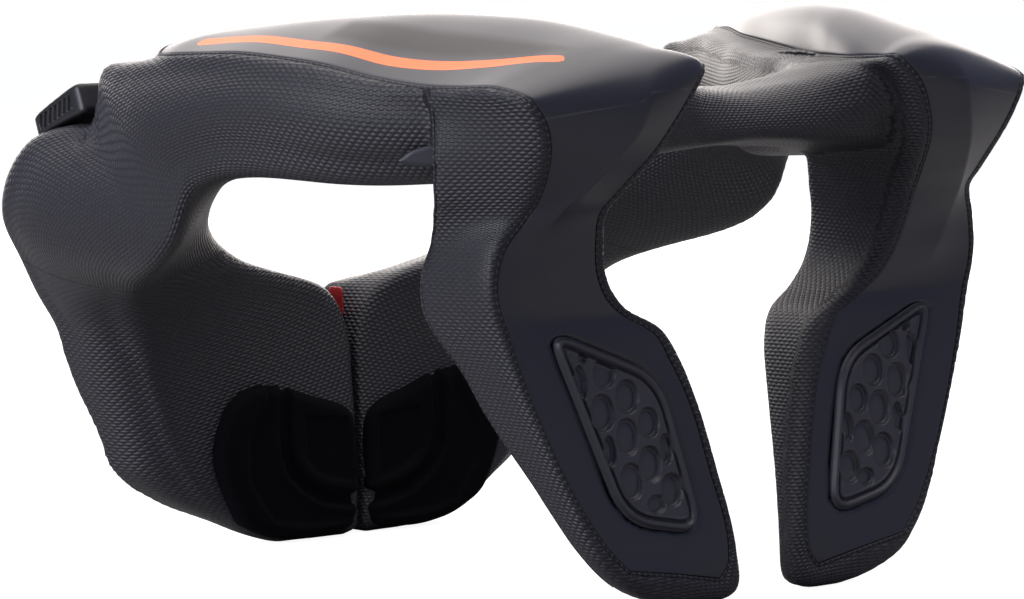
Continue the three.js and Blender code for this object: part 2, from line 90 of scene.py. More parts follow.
# Stripe and darker panel on the top of a cover, seen from above, and the film line on the leg, seen
# from behind, in millimetres on the right side
STRIPE_PATH = ((136, 20), (133, -5), (130, -37), (121, -72), (108, -100), (94, -118))
STRIPE_WIDTH = 4.6
PANEL = ((110, -30), (100, -69), (87, -106), (84, -118), (101, -111), (114, -84), (125, -53), (128, -33))
FILM_LINE = ((125, 166), (99, 170), (76, 173), (73, 176), (52, 176.5), (30, 177))

# The stripe and the panel lie above a height, the film line behind a depth; a point elsewhere has a
# distance that is far from each
STRIPE_LOWEST = 176
FILM_FRONT = -115
FAR_AWAY = 9

COLLAR_COLUMNS = ("at", "in_top", "out_top", "out_low", "in_low", "round", "crown")
COLLAR = (
    ("nape_middle", (0, 20, 87), (0, 10.5, 85.5), (0, 8, 78), (0, 20.5, 76), (9, 9), 0),
    ("nape_side", (16, 20.5, 88), (17.5, 9, 87), (17.5, 8, 77.5), (16.5, 21, 75.5), (9, 9), 0),
    ("wing_inside", (28, 21, 89.5), (34, 4, 90.5), (34.5, 7, 76.5), (29.5, 22.5, 74.5), (9, 9), 1),
    ("wing_middle", (35, 25.5, 91), (58.5, 5, 91), (57.5, 8, 73.5), (38.5, 27.5, 74), (7, 9), 4.5),
    ("wing_outside", (39.5, 31.5, 91.5), (80, 15, 88.3), (74, 17, 72.5), (44, 34, 73), (6, 9), 5),
    ("scoop", (44.5, 37.5, 91.5), (89, 22.5, 89), (82, 25.5, 71.5), (48.5, 38.5, 72), (6, 9), 5),
    ("scoop_end", (49.5, 43, 92), (94, 30, 91.2), (88.5, 31, 71.5), (53.5, 43.5, 71.5), (6, 9), 4.5),
    ("side_back", (55.5, 48, 92.5), (96.5, 39, 93), (94, 38.5, 72.5), (58.5, 48.5, 71.5), (6, 11), 4),
    ("side_middle", (63, 55, 93.5), (97, 49.5, 93.8), (96, 47.5, 74), (65.5, 53.5, 73), (6, 12), 3),
    ("side_front", (70, 61, 94), (97, 61, 93), (97, 54, 72.5), (70.5, 58.5, 73), (6, 12), 1.5),
    ("side_end", (74.5, 67.5, 92.5), (95.5, 71.5, 92), (98, 56.5, 69.5), (70, 64.5, 73), (6, 14), 0.5),
    ("notch_back", (75.5, 71.5, 91), (93.5, 77.5, 91), (98, 56.5, 65), (67.5, 68.5, 71.5), (5, 14), 0),
    ("notch_floor", (75.5, 73.5, 82), (94, 79.5, 81.5), (98, 57.5, 61.5), (65, 71.5, 69.5), (5, 14), 0),
    ("lobe_top", (74.5, 78, 81.5), (96, 84.5, 81), (97.5, 59.5, 58.5), (63, 74.5, 68), (7, 14), 0),
    ("lobe_brow", (73.5, 85, 80.5), (98.5, 91.5, 78.5), (97, 62.5, 56), (60, 77, 65.5), (10, 14), 0),
    ("lobe_front", (70.5, 91.5, 75.5), (100, 96, 72.5), (96, 66, 54), (57, 79.5, 62.5), (12, 14), 0),
    ("lobe_low", (66, 96.5, 67), (99.5, 98, 65), (93.5, 70.5, 52.5), (52.5, 82, 60), (12, 12), 0),
    ("crease", (57.5, 98.5, 58.5), (94, 98.5, 56.5), (83.5, 78.5, 51.5), (46, 85, 57), (12, 10), 0),
    ("neckline_side", (41.5, 99, 52.5), (90, 98.5, 50), (76, 83.5, 48), (36, 87.5, 54), (12, 12), 0),
    ("neckline", (20, 99, 49), (84.5, 98.5, 43), (72, 86, 43), (20, 89, 51), (12, 10), 0),
    ("split_top", (0, 98.5, 46.5), (79.5, 98.5, 36.5), (68.5, 87.5, 37.5), (3, 90, 49), (5, 5), 0),
    ("chest_top", (0, 98.5, 41), (75.5, 98.5, 30), (64, 88.5, 30.5), (0, 90, 42.5), (4, 4), 0),
    ("chest_upper", (0, 98, 31.5), (71.5, 98, 23.5), (61, 89, 24), (0, 89.5, 31.5), (4, 4), 0),
    ("chest_middle", (0, 97.5, 21.5), (67.5, 97.5, 15.5), (56, 89.5, 16), (0, 89, 21.5), (4, 4), 0),
    ("chest_lower", (0, 97, 12), (56.5, 97, 9.5), (50, 89.5, 9.5), (0, 88.5, 12), (4, 4), 0),
    ("chest_bottom", (0, 96.5, 5), (40, 96.5, 4.5), (39, 89, 4.5), (0, 88.5, 5), (4, 4), 0),
    ("chest_sole_edge", (0, 96, 1.5), (30, 96, 1.5), (30, 89.5, 1.5), (0, 89, 1.5), (3, 3), 0),
    ("chest_sole", (3, 94.5, 0), (24, 94.5, 0), (24, 91, 0), (3, 90.5, 0), (2, 2), 0),
)

LEG_COLUMNS = ("at", "z", "face_in", "face_out", "back_out", "back_in", "ridge")
LEG = (
    ("sole", (0, 0), (13.5, 9.5), (25.5, 9.5), (25.5, 12), (13.5, 12), 0),
    ("sole_edge", (1.5, 1.5), (9, 8.8), (34, 8.8), (34, 12.5), (9, 12.5), 0),
    ("tip", (4.5, 4.5), (8, 8.7), (44, 8.7), (43, 12.5), (8, 12.8), 0),
    ("blade_foot", (10.5, 10.5), (8.5, 9.2), (52, 9.2), (51, 13.5), (9, 13.5), 0),
    ("blade_low", (22, 22), (11.5, 10.2), (59.5, 10.2), (58.5, 17), (12, 16), 0),
    ("blade_middle", (33.5, 33.5), (15.5, 11.2), (66.5, 11.2), (65.5, 20.8), (16.5, 19.5), 0),
    ("blade_high", (41.5, 41.5), (19.5, 11.9), (71, 11.9), (69.5, 23), (21, 22.5), 0),
    ("blade_shoulder", (46.5, 46.5), (24.5, 12.2), (73, 12.2), (74, 24.2), (26, 24.2), 0),
    ("waist_foot", (50, 50), (34, 12.6), (75, 12.6), (76, 25), (34, 25.2), 0),
    ("waist_low", (53, 53), (38.5, 12.2), (76, 12.6), (76.5, 25.5), (39, 25.8), 0),
    ("waist", (57, 57), (42.5, 11.3), (76.5, 12.4), (77, 25.2), (42.5, 26.2), 0),
    ("waist_high", (62.5, 62.5), (44.5, 10.3), (75, 11.8), (77, 23.2), (44, 26.5), 0.5),
    ("flare_low", (67, 67), (45, 9.3), (71, 10.3), (79.5, 21), (43.5, 26.5), 1.2),
    ("flare", (71, 70.5), (43, 7), (70.5, 8), (82, 19.2), (42, 26), 2),
    ("ridge_foot", (76.5, 77), (39.5, 3.6), (72.5, 5), (83.5, 18.2), (40, 25), 2),
    ("ridge_low", (81.5, 81.5), (36, 2.2), (74.5, 3.8), (83.5, 18), (37, 24), 1.8),
    ("ridge", (87, 85), (31.5, 1.4), (77, 3.8), (83.5, 18), (33, 23), 1.5),
    ("fold", (90.5, 87), (27, 2.6), (79.5, 5.5), (84, 18), (31, 22.5), 1.2),
    ("top", (90.5, 88), (30, 6), (80, 9), (83, 18), (32, 21), 0),
)

COVER_COLUMNS = ("at", "inner", "ridge", "outer", "bow")
COVER = (
    ("tip", (15.5, 9, 4), (29.5, 8.7, 6), (43, 8.8, 7.5), 0),
    ("foot", (12.8, 9, 6.5), (29.5, 9, 8), (46.5, 9.1, 10), 0),
    ("blade_foot", (12.5, 9.3, 12), (31, 9.4, 12.5), (50, 9.4, 13), 0),
    ("blade_low", (15.5, 10.3, 22), (36, 10.3, 22), (57.5, 10.3, 22), 0),
    ("blade_middle", (19.5, 11.3, 33.5), (41.5, 11.3, 33.5), (64.5, 11.3, 33.5), 0),
    ("blade_high", (24.5, 12, 41.5), (46.5, 12, 41.5), (68.5, 12, 41.5), 0),
    ("blade_shoulder", (28.5, 12.3, 46), (49.5, 12.4, 46.5), (70.5, 12.4, 46.5), 0),
    ("waist_foot", (37, 12.8, 49.5), (55.5, 12.7, 50), (72, 12.6, 50), 0),
    ("waist_low", (42.5, 12.4, 52.5), (58.5, 12.4, 53), (73.5, 12.6, 53), 0),
    ("waist", (46.5, 11.6, 57), (61, 11.5, 57), (74, 12.5, 57), 0),
    ("waist_high", (48.5, 10.5, 62.5), (64, 10.8, 62.5), (72.5, 12, 62), 0),
    ("flare_low", (49, 9.4, 67), (63, 8.6, 67), (68.5, 10.4, 67), 0),
    ("flare", (47, 7.1, 71), (59, 5.4, 71.5), (68, 8.3, 70.5), 0),
    ("ridge_foot", (43.5, 3.7, 76.5), (54.5, 2.2, 77), (70, 5.2, 77), 0),
    ("ridge_low", (40.5, 2, 81), (51, 0.6, 81.5), (72, 4.1, 81), 0),
    ("ridge", (35.5, 1, 87), (48.5, 0.2, 87.5), (74.5, 4, 84.5), 0.5),
    ("fold", (30.5, 2, 91), (46, 2, 92), (77, 5, 87), 1),
    ("crest_back", (30.5, 5.5, 91.2), (48, 6.5, 94.5), (79, 9, 88.5), 1),
    ("crest_low", (32.5, 11.5, 91), (49, 13.5, 97), (81.5, 14, 88.5), 1),
    ("crest", (37.5, 18, 91), (51.5, 20, 98.8), (84, 19, 88.7), 1),
    ("crown_back", (43.5, 24.5, 91), (56, 27, 99.7), (87.5, 25.5, 90), 1),
    ("crown", (50, 32.5, 92), (62, 34, 100), (91.5, 32.5, 92.2), 1),
    ("crown_front", (57.5, 41, 93), (68, 41, 99.7), (93.5, 40, 93.4), 1),
    ("top_back", (64.5, 49, 94), (74.5, 48, 99), (94.5, 47, 94.1), 1),
    ("top_middle", (72, 55.5, 95), (80.5, 55, 98), (95, 54, 94), 1),
    ("top_front", (77, 60, 95.2), (85.5, 60.5, 96.8), (94.7, 60.5, 93.8), 1),
    ("end", (81, 63.5, 94.6), (87.5, 65, 95.2), (92.5, 64.5, 93.8), 1),
)

# Rubber insert, outline and cells as (x, height) in millimetres on the plane of the blade
BLADE_FOOT_Y = -117 * MM
BLADE_LEAN = math.radians(6.9)
INSERT_OUTLINE = ((91, 99), (42.5, 79.5), (29.5, 24), (65, 31))
INSERT_ROUND = 13
INSERT_SINK = 2.2
INSERT_POINTS, INSERT_RINGS = 340, 85

# Relief of the insert above the blade's plane, in millimetres: frame, groove, lip, net and cells
FRAME_HEIGHT = 1.9
FRAME_DROP = 0.8
GROOVE_AT, GROOVE_DEPTH, GROOVE_WIDTH = 3.3, 1.2, 0.5
LIP_AT, LIP_HEIGHT, LIP_WIDTH = 4.3, 0.5, 0.45
NET_HEIGHT = 0.6
CELL_FLOOR = -1.0
CELL_DOME = 0.9
CELL_SQUARENESS = 2.2
CELL_GROWTH = 1.1
RELIEF_FOOT = -1.5

# Cells: middle x, middle height, half width, half height
CELLS = (
    (76, 88, 2, 2),
    (78, 79.5, 2.5, 6),
    (67, 82, 5, 5),
    (58, 73.5, 5, 5.5),
    (69.5, 69, 5, 6),
    (49.5, 64, 4.5, 5),
    (59.5, 60, 5, 6),
    (68, 56, 2.5, 5),
    (43, 54.5, 2.5, 5),
    (50.5, 50, 5, 6),
    (59.5, 45, 5, 6),
    (42, 40.5, 4.5, 5.5),
    (49.5, 36.5, 4, 3),
)

# Piping along the covers and the outer back edge of each leg
PIPING_THICK = 1.3 * MM
PIPING_LIFT = 0.1 * MM
PIPING_OUT = 0.5 * MM
PIPING_STEP = 0.8 * MM
PIPING_SIDES = 10
LEG_PIPING_ROWS = (2, -2)
LEG_PIPING_RADIUS = PIPING_THICK / 2.3
LEG_PIPING_SMOOTHING = 6

# Grip clip: a rounded wedge on the lobe, lengths in millimetres; its slots lean with its height
CLIP_AT = (86.8, 86.3, 83.2)
CLIP_LENGTH, CLIP_WIDTH, CLIP_HEIGHT = 33, 22, 12
CLIP_SLOPE = math.radians(-21.6)
CLIP_TAPER = 0.3
CLIP_ROUND = 2.2
CLIP_HOLLOW = 0.4
CLIP_SQUARENESS = 8
CLIP_POINTS, CLIP_RINGS = 210, 140
SLOT_PITCH = 3.3
SLOT_SPAN = (-10.5, 12)
SLOT_DEPTH = 2.0
SLOT_LEAN = 0.5
SLOT_HALF_HEIGHT = 2.7
SLOT_HALF_SHARE = (0.2, 0.28)
SLOT_EDGE = 0.4

# Leaf-shaped plate in the scoop, (along, height) in millimetres on its plane
BADGE_AT = (81.3, 19.7, 77.5)
BADGE_TURN = math.radians(40)
BADGE_OUTLINE = (
    (11, -2.2), (6, 1.4), (0, 3.2), (-8, 4.2), (-11, 3.4),
    (-11.3, -1), (-10.5, -3.8), (0, -4.1), (7, -3.6),
)
BADGE_ROUND = 1.5
BADGE_THICK = 0.7
BADGE_PROUD = 0.8
BADGE_EDGE = 1.6
BADGE_FOOT = -1.2
BADGE_POINTS, BADGE_RINGS = 140, 24

# Red tab in the split, millimetres
TAB_AT = (0, 93.8, 44)
TAB_SIZE = (1.1, 8.6, 12)
TAB_SQUARENESS = 6
TAB_POINTS, TAB_RINGS = 32, 24

# Folds in the foam behind the clip: two short grooves with a swell beside them, paths in millimetres
# on the right side
FOLDS = (((142, 79, 167), (142.5, 77, 157), (141, 75, 150)), ((144, 85, 160), (143.5, 82.5, 150)))
FOLD_DEPTH = 2.2
FOLD_WIDTH = 1.3
SWELL_AT, SWELL_HEIGHT, SWELL_WIDTH = 3.2, 0.5, 1.5

# Chest pad, outlines and channel as (x, height) in millimetres on its plane
PAD_BACK_Y = 114.7 * MM
PAD_ROUND = 6
PAD_PROUD = 6.5
PAD_EDGE = 5
LEDGE_DEPTH = 1.3
CHANNEL_DEPTH = 2.6
SQUARE_DEPTH = 0.9
PAD_POINTS, PAD_RINGS = 240, 60
PAD_OUTLINE = (
    (48.5, 62.5), (33.5, 60), (20, 55), (8, 52), (2, 47), (1, 36), (1, 17), (3.5, 3), (16, 1),
    (30, 0.5), (45, 3), (60, 10.5), (67, 23.5), (71, 36.5), (67, 50.5), (60, 59),
)
PAD_LEDGE = ((47, 75), (47, 55.5), (56, 41.5), (56, 25), (45, 9), (30, 6), (-9, 5), (-9, 75))
PAD_CHANNEL = ((37, 57), (37.5, 45), (37, 34), (34, 27), (28, 21.5), (20, 17), (8, 14.5), (-6, 13.5))
PAD_SQUARE = ((28, 48), (7, 46), (7, 21.5), (14, 22), (24, 26), (28, 31))

# Photographer's camera, in degrees, metres and shares of the picture
CAMERA_AZIMUTH = math.radians(40)
CAMERA_ELEVATION = math.radians(4.7)
CAMERA_ROLL = math.radians(1.1)
CAMERA_DISTANCE = 1.5
CAMERA_TARGET = (-0.02563, -0.01078, 0.09849)
SENSOR = 36
FOCAL_PER_WIDTH = 4200 / 1024

# Studio: the world's and the paper's colours, and area lights as name, place, aim, size in metres,
# strength in watts and colour
WORLD_LIGHT = (0.21, 0.23, 0.34)
PAPER_SEEN = (0.93, 0.93, 0.93)
PAPER_REACH = 9
WARM = (1.0, 0.93, 0.86)
COOL = (0.90, 0.91, 1.0)
LIGHTS = (
    ("top", (0.1, 0.1, 1.7), (0, 0, 0.1), (2.2, 2.2), 40, WARM),
    ("back", (0.9, 1.5, 0.9), (0, 0, 0.15), (2.4, 1.6), 36, WARM),
    ("horizon", (1.35, 1.6, 0.42), (0, 0, 0.17), (3.2, 0.8), 38, WARM),
    ("left", (-1.6, 0.1, 0.5), (0, 0, 0.1), (0.9, 1.0), 22, COOL),
)


def ramp(value, low, high):
    """Smooth step: 0 below low, 1 above high, an S between them."""
    t = np.clip((value - low) / (high - low), 0, 1)
    return t * t * (3 - 2 * t)


def hump(value, middle, width):
    """Bell curve: 1 at its middle, falling as the exponential of minus the square of the distance."""
    return np.exp(-(((value - middle) / width) ** 2))


def edge_rise(inward, width):
    """Quarter circle: 0 at the edge, 1 from width inwards."""
    return np.sqrt(np.clip(1 - (1 - np.minimum(inward / width, 1)) ** 2, 0, 1))


def unit(vectors):
    return vectors / np.maximum(np.linalg.norm(vectors, axis=-1, keepdims=True), 1e-12)


def lengths(path):
    """Distance from the path's start to each of its points."""
    return np.concatenate([[0], np.cumsum(np.linalg.norm(np.diff(path, axis=0), axis=1))])


def looped(outline):
    """Outline with its first point once more at the end."""
    return np.concatenate([outline, outline[:1]])


def spots(places):
    """Places in percent of the half width, depth and height, as points in metres."""
    share = np.asarray(places, float) / 100
    return (share - (0, MIDDLE_Y, 0)) * (HALF_WIDTH, DEPTH, HEIGHT)


def column(table, names, name):
    return [row[names.index(name)] for row in table]


def smooth_rows(rows, steps, guide=None):
    """Cubic curve through the rows, slopes taken from the neighbours, steps pieces between two rows.
    The rows are spaced by the root of the distance between the guide's rows."""
    rows = np.asarray(rows, float)
    flat = rows.reshape(len(rows), -1)
    lead = flat if guide is None else np.asarray(guide, float).reshape(len(rows), -1)
    gaps = np.sqrt(np.linalg.norm(np.diff(lead, axis=0), axis=1))
    at = np.concatenate([[0], np.cumsum(gaps)])
    slope = np.gradient(flat, at, axis=0)
    first = np.append(np.repeat(np.arange(len(rows) - 1), steps), len(rows) - 2)
    s = np.append(np.tile(np.arange(steps) / steps, len(rows) - 1), 1.0)[:, None]
    gap = gaps[first][:, None]
    made = (1 + 2 * s) * (1 - s) ** 2 * flat[first] + s * (1 - s) ** 2 * gap * slope[first]
    made += s**2 * (3 - 2 * s) * flat[first + 1] + s**2 * (s - 1) * gap * slope[first + 1]
    return made.reshape((-1,) + rows.shape[1:])


def section_loops(quads, rounds, bellies):
    """Loops round four corners: a quarter turn (quadratic curve) at each corner, and sides that bow
    out in their middle as 4 s (1 - s), by bellies or by a share of the side, whichever is less."""
    after = np.roll(quads, -1, axis=1)
    to_before = np.roll(quads, 1, axis=1) - quads
    to_after = after - quads

    def cut(way):
        length = np.linalg.norm(way, axis=2, keepdims=True)
        return quads + way / length * np.minimum(rounds[..., None], CUT_SHARE * length)

    start, end = cut(to_before), cut(to_after)
    t = np.linspace(0, 1, TURN_POINTS)[:, None]
    turns = (1 - t) ** 2 * start[:, :, None] + t**2 * end[:, :, None]
    turns = turns + 2 * t * (1 - t) * quads[:, :, None]
    out = (quads + after) / 2 - quads.mean(axis=1, keepdims=True)
    along = np.sum(out * to_after, 2, keepdims=True) / np.sum(to_after**2, 2, keepdims=True)
    out = out - to_after * along
    straight = np.linalg.norm(np.roll(start, -1, axis=1) - end, axis=2)
    rise = np.minimum(bellies, BELLY_LIMIT * straight)
    out = unit(out) * rise[..., None]
    s = np.linspace(0, 1, SIDE_POINTS + 2)[1:-1, None]
    sides = (1 - s) * end[:, :, None] + s * np.roll(start, -1, axis=1)[:, :, None]
    sides = sides + 4 * s * (1 - s) * out[:, :, None]
    return np.concatenate([turns, sides], axis=2).reshape(len(quads), -1, 3)


def calmed(rows, reach):
    """Rows averaged with their neighbours by a bell curve of that reach; the ends stay."""
    ahead = np.arange(-3 * reach, 3 * reach + 1)
    bell = np.exp(-0.5 * (ahead / reach) ** 2)
    index = np.arange(len(rows))[:, None] + ahead
    around = rows[np.clip(index, 0, len(rows) - 1)]
    made = np.tensordot(bell / bell.sum(), around, axes=(0, 1))
    edge = np.minimum(np.arange(len(rows)), np.arange(len(rows))[::-1])
    keep = ramp(edge / reach, 0, 2).reshape((-1,) + (1,) * (rows.ndim - 1))
    return rows + (made - rows) * keep


def grid_faces(rows, columns, wrap=False):
    """Faces between the points of a grid with rows * columns points, closed round the columns by wrap."""
    i = np.arange(rows - 1)[:, None]
    j = np.arange(columns if wrap else columns - 1)[None, :]
    k = (j + 1) % columns
    quads = [i * columns + j, i * columns + k, (i + 1) * columns + k, (i + 1) * columns + j]
    return np.stack(quads, axis=-1).reshape(-1, 4)


def mesh_object(name, points, faces):
    """Object from points in metres and a list of faces."""
    mesh = bpy.data.meshes.new(name)
    mesh.from_pydata(np.asarray(points, float).tolist(), [], [list(map(int, f)) for f in faces])
    mesh.validate()
    made = bpy.data.objects.new(name, mesh)
    bpy.context.scene.collection.objects.link(made)
    return made


def closed_skin(loops):
    """Points and faces of a skin over a row of loops, with a fan over each end."""
    rows, size = loops.shape[:2]
    points = np.concatenate([loops.reshape(-1, 3), loops[:1].mean(axis=1), loops[-1:].mean(axis=1)])
    faces = [list(f) for f in grid_faces(rows, size, wrap=True)]
    last = (rows - 1) * size
    for k in range(size):
        n = (k + 1) % size
        faces.append([rows * size, n, k])
        faces.append([rows * size + 1, last + k, last + n])
    return points, faces


def collar_loops(steps=6):
    """Sections of the right half of the collar, from a little past the middle of the nape."""
    corners = ("in_top", "out_top", "out_low", "in_low")
    quads = np.stack([spots(column(COLLAR, COLLAR_COLUMNS, n)) for n in corners], 1)
    rounds = np.array([(r[0], r[0], r[1], r[1]) for r in column(COLLAR, COLLAR_COLUMNS, "round")]) * MM
    crown = np.array(column(COLLAR, COLLAR_COLUMNS, "crown")) / 100 * HEIGHT
    from_row = column(COLLAR, COLLAR_COLUMNS, "at").index(SPLIT_FROM)
    whole = (np.arange(len(COLLAR)) <= from_row) * 1.0
    bellies = np.stack([crown, crown * 0 + LOW_BELLY * MM, crown * 0, whole * INNER_BELLY * MM], 1)
    flip = np.array([-1, 1, 1])
    quads = np.concatenate([quads[1:2] * flip, quads])
    rounds = np.concatenate([rounds[1:2], rounds])
    bellies = np.concatenate([bellies[1:2], bellies])
    dense = smooth_rows(quads, steps)
    dense[:, 2:] = calmed(dense[:, 2:], LOW_SMOOTHING)
    split = (from_row + 1) * steps
    dense[split:, :, 0] = np.maximum(dense[split:, :, 0], SPLIT_GAP / 2)
    loops = section_loops(dense, smooth_rows(rounds, steps, quads), smooth_rows(bellies, steps, quads))
    loops[split:, :, 0] = np.maximum(loops[split:, :, 0], SPLIT_GAP / 2)
    return loops


def leg_loops(steps=6):
    """Sections of the right leg from the sole up into the wing."""
    z_in, z_out = np.array(column(LEG, LEG_COLUMNS, "z"), float).T
    corners = []
    for name, z in (("face_in", z_in), ("face_out", z_out), ("back_out", z_out), ("back_in", z_in)):
        xy = np.array(column(LEG, LEG_COLUMNS, name), float)
        corners.append(spots(np.column_stack([xy, z])))
    quads = np.stack(corners, 1)
    ridge = np.array(column(LEG, LEG_COLUMNS, "ridge")) / 100 * DEPTH
    bellies = np.stack([ridge, ridge * 0, ridge * 0, ridge * 0], 1)
    rounds = np.tile(np.array(LEG_ROUNDS) * MM, (len(LEG), 1))
    dense = smooth_rows(quads, steps)
    dense[:, :, 2] = np.maximum(dense[:, :, 2], 0)
    return section_loops(dense, smooth_rows(rounds, steps, quads), smooth_rows(bellies, steps, quads))


def cover_grid(steps=12, across=40):
    """Outer surface of the right cover. Across the cover a line runs from the inner border over the
    ridge to the outer border; bow blends it from a rounded crease to the parabola through all three."""
    inner, ridge, outer = (spots(column(COVER, COVER_COLUMNS, n)) for n in ("inner", "ridge", "outer"))
    guide = np.stack([inner, ridge, outer], 1)
    lines = smooth_rows(guide, steps)
    bow = np.array(column(COVER, COVER_COLUMNS, "bow"), float)[:, None]
    bow = np.clip(smooth_rows(bow, steps, guide)[:, :, None], 0, 1)
    t = 0.5 - 0.5 * np.cos(np.linspace(0, math.pi, across + 1))
    x = np.abs(2 * t - 1)
    whole = math.sqrt(1 + CREASE_ROUND**2) - CREASE_ROUND
    soft = (np.sqrt(x**2 + CREASE_ROUND**2) - CREASE_ROUND) / whole
    tent = np.stack([soft * (t < 0.5), 1 - soft, soft * (t >= 0.5)])
    curve = np.stack([(1 - t) * (1 - 2 * t), 4 * t * (1 - t), t * (2 * t - 1)])
    share = bow * curve + (1 - bow) * tent
    return np.einsum("nkj,nkc->njc", share, lines)


def grid_normals(grid):
    """Unit normals of a grid of points, from the differences along it and across it."""
    return unit(np.cross(np.gradient(grid, axis=1), np.gradient(grid, axis=0)))


def border_distance(grid):
    """Distance of every point of a grid to the grid's border, measured along its rows and columns."""
    def from_start(points):
        steps = np.linalg.norm(np.diff(points, axis=0), axis=2)
        return np.concatenate([np.zeros((1, points.shape[1])), np.cumsum(steps, axis=0)])

    along = np.minimum(from_start(grid), from_start(grid[::-1])[::-1])
    turned = grid.transpose(1, 0, 2)
    across = np.minimum(from_start(turned), from_start(turned[::-1])[::-1]).T
    return np.minimum(along, across)


def triangles(faces):
    quads = np.asarray(faces)
    return np.concatenate([quads[:, [0, 1, 2]], quads[:, [0, 2, 3]]])


class Surface:
    """Surface that points are measured against, with values carried by its points."""

    def __init__(self, grid, **values):
        self.points = grid.reshape(-1, 3)
        self.faces = triangles(grid_faces(*grid.shape[:2]))
        self.values = {k: np.asarray(v, float).reshape(len(self.points), -1) for k, v in values.items()}
        self.tree = BVHTree.FromPolygons(self.points.tolist(), self.faces.tolist())

    def nearest(self, points):
        """For each point: the nearest place on the surface, its normal there, and every carried value."""
        hits = [self.tree.find_nearest(Vector(p)) for p in points]
        place = np.array([h[0] for h in hits])
        normal = np.array([h[1] for h in hits])
        a, b, c = (self.points[self.faces[[h[2] for h in hits], k]] for k in range(3))
        area = np.cross(b - a, c - a)
        size = np.maximum(np.sum(area**2, 1), 1e-24)
        wb = np.clip(np.sum(np.cross(place - a, c - a) * area, 1) / size, 0, 1)
        wc = np.clip(np.sum(np.cross(b - a, place - a) * area, 1) / size, 0, 1)
        weights = np.stack([np.clip(1 - wb - wc, 0, 1), wb, wc], 1)
        rows = self.faces[[h[2] for h in hits]]
        found = {k: np.einsum("nk,nkc->nc", weights, v[rows]) for k, v in self.values.items()}
        return place, normal, found


def relaxed(points, edges, rounds, plane):
    """Points moved towards the mean of their neighbours, then back by a little more, so that small steps
    go and the size stays. Points of the middle plane stay on it."""
    points = points.copy()
    count = np.bincount(edges.ravel(), minlength=len(points))[:, None]
    for _ in range(rounds):
        for share in (0.5, -0.52):
            total = np.zeros_like(points)
            for axis in range(3):
                total[:, axis] = np.bincount(edges[:, 0], points[edges[:, 1], axis], len(points))
                total[:, axis] += np.bincount(edges[:, 1], points[edges[:, 0], axis], len(points))
            points += share * (total / np.maximum(count, 1) - points)
            points[plane, 0] = 0
    return points


def read_rows(items, name, width, kind=float):
    flat = np.zeros(len(items) * width, kind)
    items.foreach_get(name, flat)
    return flat.reshape(-1, width)


def read_points(mesh):
    return read_rows(mesh.vertices, "co", 3)


def read_normals(mesh):
    return read_rows(mesh.vertex_normals, "vector", 3)


def write_points(mesh, points):
    mesh.vertices.foreach_set("co", np.asarray(points, float).ravel())
    mesh.update()


def fused_half():
    """The right half of the foam: collar and leg fused by a voxel remesh, cut at the middle plane."""
    points, faces = closed_skin(collar_loops())
    leg_points, leg_faces = closed_skin(leg_loops())
    faces = faces + [[v + len(points) for v in f] for f in leg_faces]
    rough = mesh_object("foam_rough", np.concatenate([points, leg_points]), faces)
    remesh = rough.modifiers.new("fuse", "REMESH")
    remesh.mode = "VOXEL"
    remesh.voxel_size = FOAM_GRAIN
    fused = bpy.data.meshes.new_from_object(rough.evaluated_get(bpy.context.evaluated_depsgraph_get()))
    bpy.data.objects.remove(rough)
    work = bmesh.new()
    work.from_mesh(fused)
    geometry = work.verts[:] + work.edges[:] + work.faces[:]
    bmesh.ops.bisect_plane(
        work, geom=geometry, plane_co=(0, 0, 0), plane_no=(-1, 0, 0), clear_outer=True, dist=1e-6
    )
    work.to_mesh(fused)
    work.free()
    return fused


def under_cover(points, normals, cover):
    """Foam points below the cover go down to its underside; at the border the foam meets its edge,
    and just outside it a rolled rim stands up."""
    place, up, found = cover.nearest(points)
    apart = points - place
    above = np.sum(apart * up, 1)
    sideways = np.linalg.norm(apart - above[:, None] * up, axis=1)
    inside = found["border"][:, 0]
    s = np.where(sideways > OFF_COVER, -sideways, inside)
    facing = np.sum(normals * up, 1)
    near = ramp(facing, *SEAT_FACING) * (1 - ramp(np.abs(above), *SEAT_HEIGHT))
    target = -SEAT_GAP - SEAT_DEPTH * ramp(s, *SEAT_SLOPE)
    pull = ramp(s, -SEAT_REACH, 0) * near
    rim = RIM_HEIGHT * hump(s, -RIM_DISTANCE, RIM_SPREAD) * near
    return points + up * ((target - above) * pull + rim)[:, None]


def direction_surface(loops):
    """Surface of a loft that carries its directions along the sweep and round the section, the row and
    the place round the section, 0 to 1."""
    closed = np.concatenate([loops, loops[:, :1]], axis=1)
    along, around = np.gradient(closed, axis=0), np.gradient(closed, axis=1)
    rows, columns = closed.shape[:2]
    row, turn = np.mgrid[0:rows, 0:columns] / np.array([1.0, columns - 1.0])[:, None, None]
    return Surface(closed, along=along, around=around, row=row, turn=turn)


def unrolled(points, edges, field, weights, rounds=500):
    """Value per point that grows by one for each millimetre along the field: the least squares answer,
    found by conjugate gradients."""
    first, second = edges.T
    step = (points[second] - points[first]) / MM
    wanted = np.sum(step * (field[first] + field[second]) / 2, 1)
    count = len(points)

    def gathered(values):
        return np.bincount(second, values, count) - np.bincount(first, values, count)

    # The last term is small and holds the answer in place
    def applied(x):
        return gathered(weights * (x[second] - x[first])) + 1e-7 * x

    x = np.zeros(count)
    rest = gathered(weights * wanted)
    way = rest.copy()
    size = rest @ rest
    for _ in range(rounds):
        image = applied(way)
        step_by = size / max(way @ image, 1e-30)
        x += step_by * way
        rest -= step_by * image
        new_size = rest @ rest
        way = rest + way * (new_size / size)
        size = new_size
    return x


